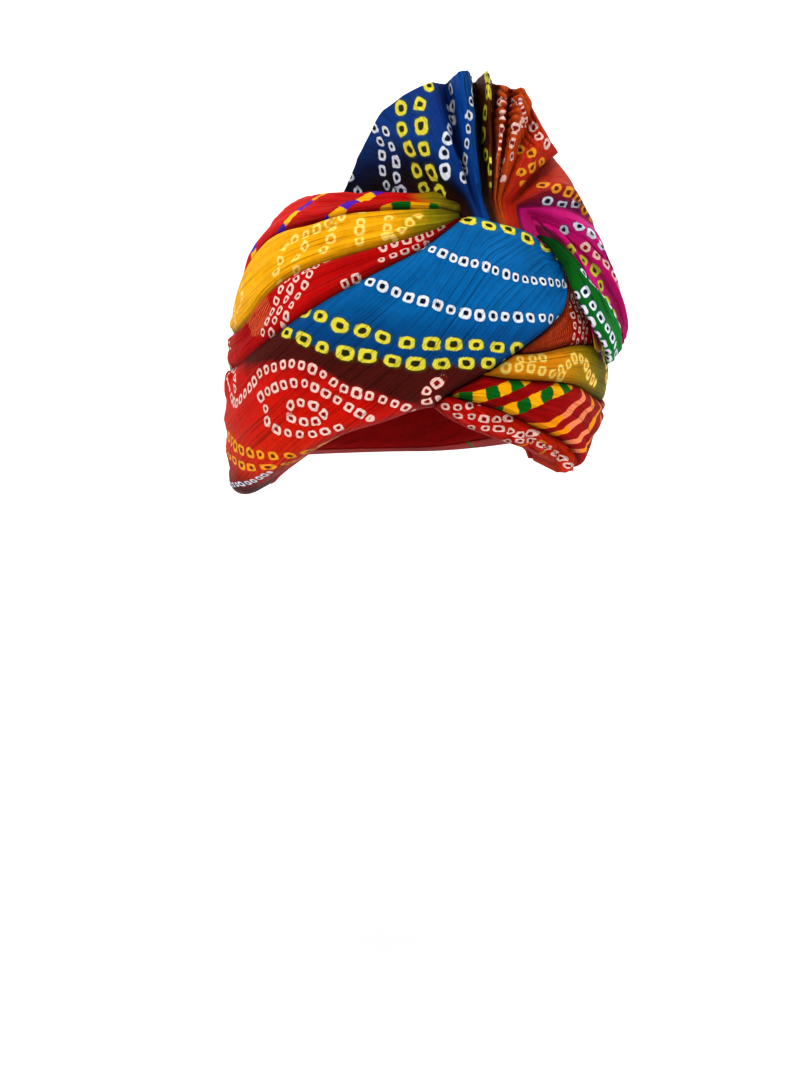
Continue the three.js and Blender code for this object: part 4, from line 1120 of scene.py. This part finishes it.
def cloth_finishes():
    """The dyes, marks and creases of each piece's cloth, as dyed_cloth takes them."""
    dyes = bpy.context.scene.turban_dyes
    return {
        "top_red_wrap": dict(
            name="Checked red cloth", crinkle=(0, 46, 1.7),
            stops=((0, dyes.red), (0.485, dyes.red), (0.503, srgb(206, 110, 10)),
                   (0.52, srgb(160, 140, 14)), (0.55, srgb(84, 76, 10)), (0.58, dyes.dark_maroon),
                   (0.62, srgb(140, 8, 78)), (0.65, srgb(140, 8, 78)), (0.67, dyes.red)),
            checks={CHECK: (dyes.yellow, dyes.purple), STRIPE: (dyes.yellow, dyes.green)}),
        "yellow_wrap": dict(
            name="Yellow cloth", crinkle=(0, 60, 1.3), crease_depth=0.8,
            stops=((0, dyes.yellow), (0.9, dyes.yellow), (0.935, srgb(214, 164, 10)),
                   (0.96, srgb(158, 142, 14)), (1, srgb(112, 104, 10))),
            rings={RING: CREAM_RING}),
        "dotted_red_wrap": dict(
            name="Dotted red cloth", crinkle=(0, 60, 1.5),
            stops=((0, dyes.orange), (0.25, dyes.red), (0.4, srgb(190, 6, 10)),
                   (1, srgb(190, 6, 10))),
            rings={RING: PINK_RING}, hatch=(0.62, 0.68, dyes.salmon, 0.9, 1.9)),
        "front_panel": dict(
            name="Blue to red cloth", crinkle=(-0.12, 55, 1.3), crease_depth=0.8,
            stops=((0, srgb(0, 108, 172)), (0.1, srgb(0, 88, 150)), (0.235, srgb(2, 70, 130)),
                   (0.262, dyes.maroon), (0.47, dyes.maroon), (0.53, srgb(206, 18, 2)),
                   (0.64, srgb(212, 28, 2)), (0.76, dyes.orange_red), (0.86, srgb(84, 14, 8))),
            rings={RING: WHITE_RING, **WARM_MARKS}),
        "side_hatch_wrap": dict(
            name="Hatched red cloth", crinkle=(0, 30, 1.6),
            stops=((0, srgb(150, 30, 14)), (0.45, dyes.deep_red), (1, dyes.red)),
            rings={RING: PINK_RING}, hatch=(0.5, 0.42, srgb(206, 96, 40), 0.5, 1.8)),
        "olive_wrap": dict(
            name="Yellow to olive cloth", crinkle=(0, 50, 1.6),
            stops=((0, dyes.gold), (0.1, dyes.gold), (0.16, srgb(170, 140, 8)),
                   (0.22, dyes.olive), (0.6, dyes.olive), (1, dyes.gold)),
            rings={RING: CREAM_RING}),
        "striped_wrap": dict(
            name="Striped red cloth", crinkle=(0, 40, 1.7),
            stops=((0, srgb(170, 6, 8)), (1, srgb(176, 10, 10))),
            checks={STRIPE: (dyes.gold, srgb(240, 140, 96)), CHECK: (dyes.yellow, dyes.green)}),
        "rim_roll": dict(
            name="Rim red cloth", crinkle=(0.3, 14, 1.8),
            stops=((0, srgb(200, 16, 10)), (0.5, srgb(216, 36, 8)), (1, srgb(224, 60, 10))),
            rings={RING: PINK_RING}, checks={STRIPE: (dyes.gold, dyes.gold)}),
        "green_roll": dict(
            name="Green cloth", crinkle=(0, 30, 1.6),
            stops=((0, dyes.dark_green), (0.4, dyes.green), (0.85, dyes.bright_green),
                   (1, dyes.green)),
            rings={RING: WHITE_RING}),
        "fan_blue": dict(
            name="Blue fan cloth", crinkle=(0, 60, 1.8), roughness=0.5, gloss=0.12,
            stops=((0, dyes.dark_maroon), (0.1, dyes.near_black), (0.18, dyes.navy),
                   (0.32, srgb(6, 66, 140)), (0.72, srgb(0, 50, 124)), (0.9, srgb(2, 84, 170)),
                   (1, dyes.deep_blue)),
            rings={RING: WHITE_RING, BIG_RING: LEMON_RING}),
        "fan_orange": dict(
            name="Orange fan cloth", crinkle=(0, 40, 1.8), roughness=0.42, gloss=0.18,
            stops=((0, dyes.near_black), (0.1, srgb(66, 30, 4)), (0.3, srgb(110, 44, 4)),
                   (0.42, srgb(190, 76, 12)), (0.7, srgb(214, 86, 12)), (0.84, srgb(212, 56, 12)),
                   (1, srgb(206, 36, 10))),
            rings={RING: PINK_RING, **WARM_MARKS}),
        "fan_magenta": dict(
            name="Magenta fan cloth", crinkle=(0, 50, 1.7), roughness=0.42, gloss=0.2,
            stops=((0, srgb(206, 44, 10)), (0.2, srgb(200, 48, 12)), (0.27, srgb(150, 14, 40)),
                   (0.32, dyes.plum), (0.4, srgb(220, 10, 134)), (0.7, dyes.magenta),
                   (0.95, srgb(236, 0, 140)), (0.98, dyes.yellow)),
            rings={RING: WHITE_RING, **WARM_MARKS}),
        "under_wrap": dict(
            name="Red under cloth", crinkle=(0.2, 50, 5),
            stops=((0, srgb(150, 10, 12)), (1, srgb(120, 8, 10)))),
        "crown_cover": dict(
            name="Red crown cloth", crinkle=(0, 60, 5),
            stops=((0, srgb(168, 12, 12)), (1, srgb(150, 10, 10)))),
    }


class TURBAN_OT_lining(bpy.types.Operator):
    """Lays the first turns round the hollow, and the cloth over the sunken crown"""

    bl_idname = "turban.lining"
    bl_label = "First turns and crown"

    def execute(self, context):
        lay_cloth(
            "under_wrap", (160, 60),
            lining_shape(lambda az: rim(az) + 0.4, FIRST_TURNS - 0.5, 0.35, 11),
            LINING_THICKNESS, closed=True)
        lay_cloth(
            "crown_cover", (150, 50),
            lining_shape(lambda az: crown_edge(az) - 3, FIRST_TURNS + 5, 0.9, 5),
            CROWN_THICKNESS, closed=True)
        return {"FINISHED"}


class TURBAN_OT_turns(bpy.types.Operator):
    """Winds the turns of cloth round the body, each tucked in under its neighbours"""

    bl_idname = "turban.turns"
    bl_label = "Wound turns"

    def execute(self, context):
        settings = context.scene.turban
        for turn in TURNS:
            lay_cloth(
                turn.name, (turn.columns, turn.rows),
                turn_shape(turn, settings.crease_depth), settings.cloth_thickness,
                closed=turn.last - turn.first == 360)
        return {"FINISHED"}


class TURBAN_OT_fan(bpy.types.Operator):
    """Pleats the standing fan and its drape down the side"""

    bl_idname = "turban.fan"
    bl_label = "Pleated fan"

    def execute(self, context):
        depth = context.scene.turban.crease_depth
        for fan in FANS:
            lay_cloth(
                fan.name, (fan.columns, fan.rows), fan_shape(fan, depth),
                FAN_THICKNESS)
        return {"FINISHED"}


class TURBAN_OT_hem_roll(bpy.types.Operator):
    """Rolls the green hem that runs down the side"""

    bl_idname = "turban.hem_roll"
    bl_label = "Green hem roll"

    def execute(self, context):
        lay_cloth(
            "green_roll", (72, 120), roll_shape(context.scene.turban.crease_depth),
            FAN_THICKNESS, closed=True)
        return {"FINISHED"}


CAMERA_TARGET = Vector((-0.002, 0, -0.035))
CAMERA_DISTANCE = 1.3
CAMERA_RISE = 10 * DEGREE
FLOOR_LEVEL = -0.26
BEND_START, BEND_RADIUS = 1.2, 0.9  # where the floor bends up behind
WORLD_LIGHT = 0.6
# Soft lights: place and target in metres, width, share of the key light's power.
LIGHTS = (
    ("Key light", (-0.9, -1.5, 1.2), (0, 0, 0.08), 0.9, 1.0),
    ("Fill light", (1.5, -1.1, 0.6), (0, 0, 0.08), 1.4, 0.4),
    ("Top light", (0.2, 0.1, 1.6), (0, 0, 0.08), 0.9, 0.5),
    ("Backdrop light", (0, 0.7, 1.7), (0, 2.1, 0.3), 2.0, 1.4),
)


def stage_object(name, data, place=(0, 0, 0), aim=None):
    """A new object in the scene, turned to look along aim where that is given."""
    thing = bpy.data.objects.new(name, data)
    thing.location = place
    if aim is not None:
        thing.rotation_mode = "QUATERNION"
        thing.rotation_quaternion = aim.to_track_quat("-Z", "Y")
    bpy.context.scene.collection.objects.link(thing)
    return thing


class TURBAN_OT_stage(bpy.types.Operator):
    """Sets the pale floor and backdrop, the soft lights and the camera"""

    bl_idname = "turban.stage"
    bl_label = "Stage"

    def execute(self, context):
        settings = context.scene.turban
        bm = bmesh.new()
        bmesh.ops.create_grid(bm, x_segments=2, y_segments=60, size=4)
        for vert in bm.verts:
            past = max(vert.co.y - BEND_START, 0)
            bend = min(past / BEND_RADIUS, math.pi / 2)
            straight = max(past - BEND_RADIUS * math.pi / 2, 0)
            vert.co.z = FLOOR_LEVEL + (BEND_RADIUS * (1 - math.cos(bend)) + straight)
            if past > 0:
                vert.co.y = BEND_START + BEND_RADIUS * math.sin(bend)
        for face in bm.faces:
            face.smooth = True
        mesh = bpy.data.meshes.new("floor")
        bm.to_mesh(mesh)
        bm.free()
        material = bpy.data.materials.new("Pale floor")
        material.use_nodes = True
        net = Net(material.node_tree)
        surface = material.node_tree.nodes["Principled BSDF"]
        place = net.add("ShaderNodeTexCoord").outputs["Object"]
        pale = settings.floor_colour
        tone = net.ramp(net.noise(place, 3.0), ((0.3, [c * 0.985 for c in pale]), (0.7, pale)))
        net.wire(surface.inputs["Base Color"], tone)
        surface.inputs["Roughness"].default_value = 0.9
        mesh.materials.append(material)
        stage_object("floor", mesh)
        world = bpy.data.worlds.new("Soft room")
        world.use_nodes = True
        background = world.node_tree.nodes["Background"].inputs
        background["Color"].default_value = (1, 1, 1, 1)
        background["Strength"].default_value = WORLD_LIGHT
        context.scene.world = world
        for name, place, target, size, share in LIGHTS:
            light = bpy.data.lights.new(name, "AREA")
            light.energy = settings.key_power * share
            light.size = size
            stage_object(name, light, place, Vector(target) - Vector(place))
        camera = bpy.data.cameras.new("Camera")
        camera.lens = settings.lens
        camera.sensor_width = 36
        back = Vector((0, -math.cos(CAMERA_RISE), math.sin(CAMERA_RISE)))
        place = CAMERA_TARGET + back * CAMERA_DISTANCE
        context.scene.camera = stage_object("Camera", camera, place, -back)
        context.scene.view_settings.view_transform = "Standard"
        context.scene.view_settings.look = "Medium High Contrast"
        return {"FINISHED"}


class TURBAN_PT_panel(bpy.types.Panel):
    """Lists the steps that build the turban, its settings and its dyes"""

    bl_idname = "TURBAN_PT_panel"
    bl_label = "Tied turban"
    bl_space_type = "VIEW_3D"
    bl_region_type = "UI"
    bl_category = "Turban"

    def draw(self, context):
        for step in STEPS:
            self.layout.operator(step.bl_idname)
        for group in (context.scene.turban, context.scene.turban_dyes):
            for name in type(group).__annotations__:
                self.layout.prop(group, name)


STEPS = (TURBAN_OT_lining, TURBAN_OT_turns, TURBAN_OT_fan, TURBAN_OT_hem_roll, TURBAN_OT_stage)
CLASSES = (TurbanSettings, TurbanDyes, *STEPS, TURBAN_PT_panel)


def register():
    for item in CLASSES:
        bpy.utils.register_class(item)
    bpy.types.Scene.turban = PointerProperty(type=TurbanSettings)
    bpy.types.Scene.turban_dyes = PointerProperty(type=TurbanDyes)


def unregister():
    del bpy.types.Scene.turban_dyes
    del bpy.types.Scene.turban
    for item in reversed(CLASSES):
        bpy.utils.unregister_class(item)


def main():
    register()
    bpy.ops.turban.lining()
    bpy.ops.turban.turns()
    bpy.ops.turban.fan()
    bpy.ops.turban.hem_roll()
    bpy.ops.turban.stage()
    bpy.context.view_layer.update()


if __name__ == "__main__":
    main()
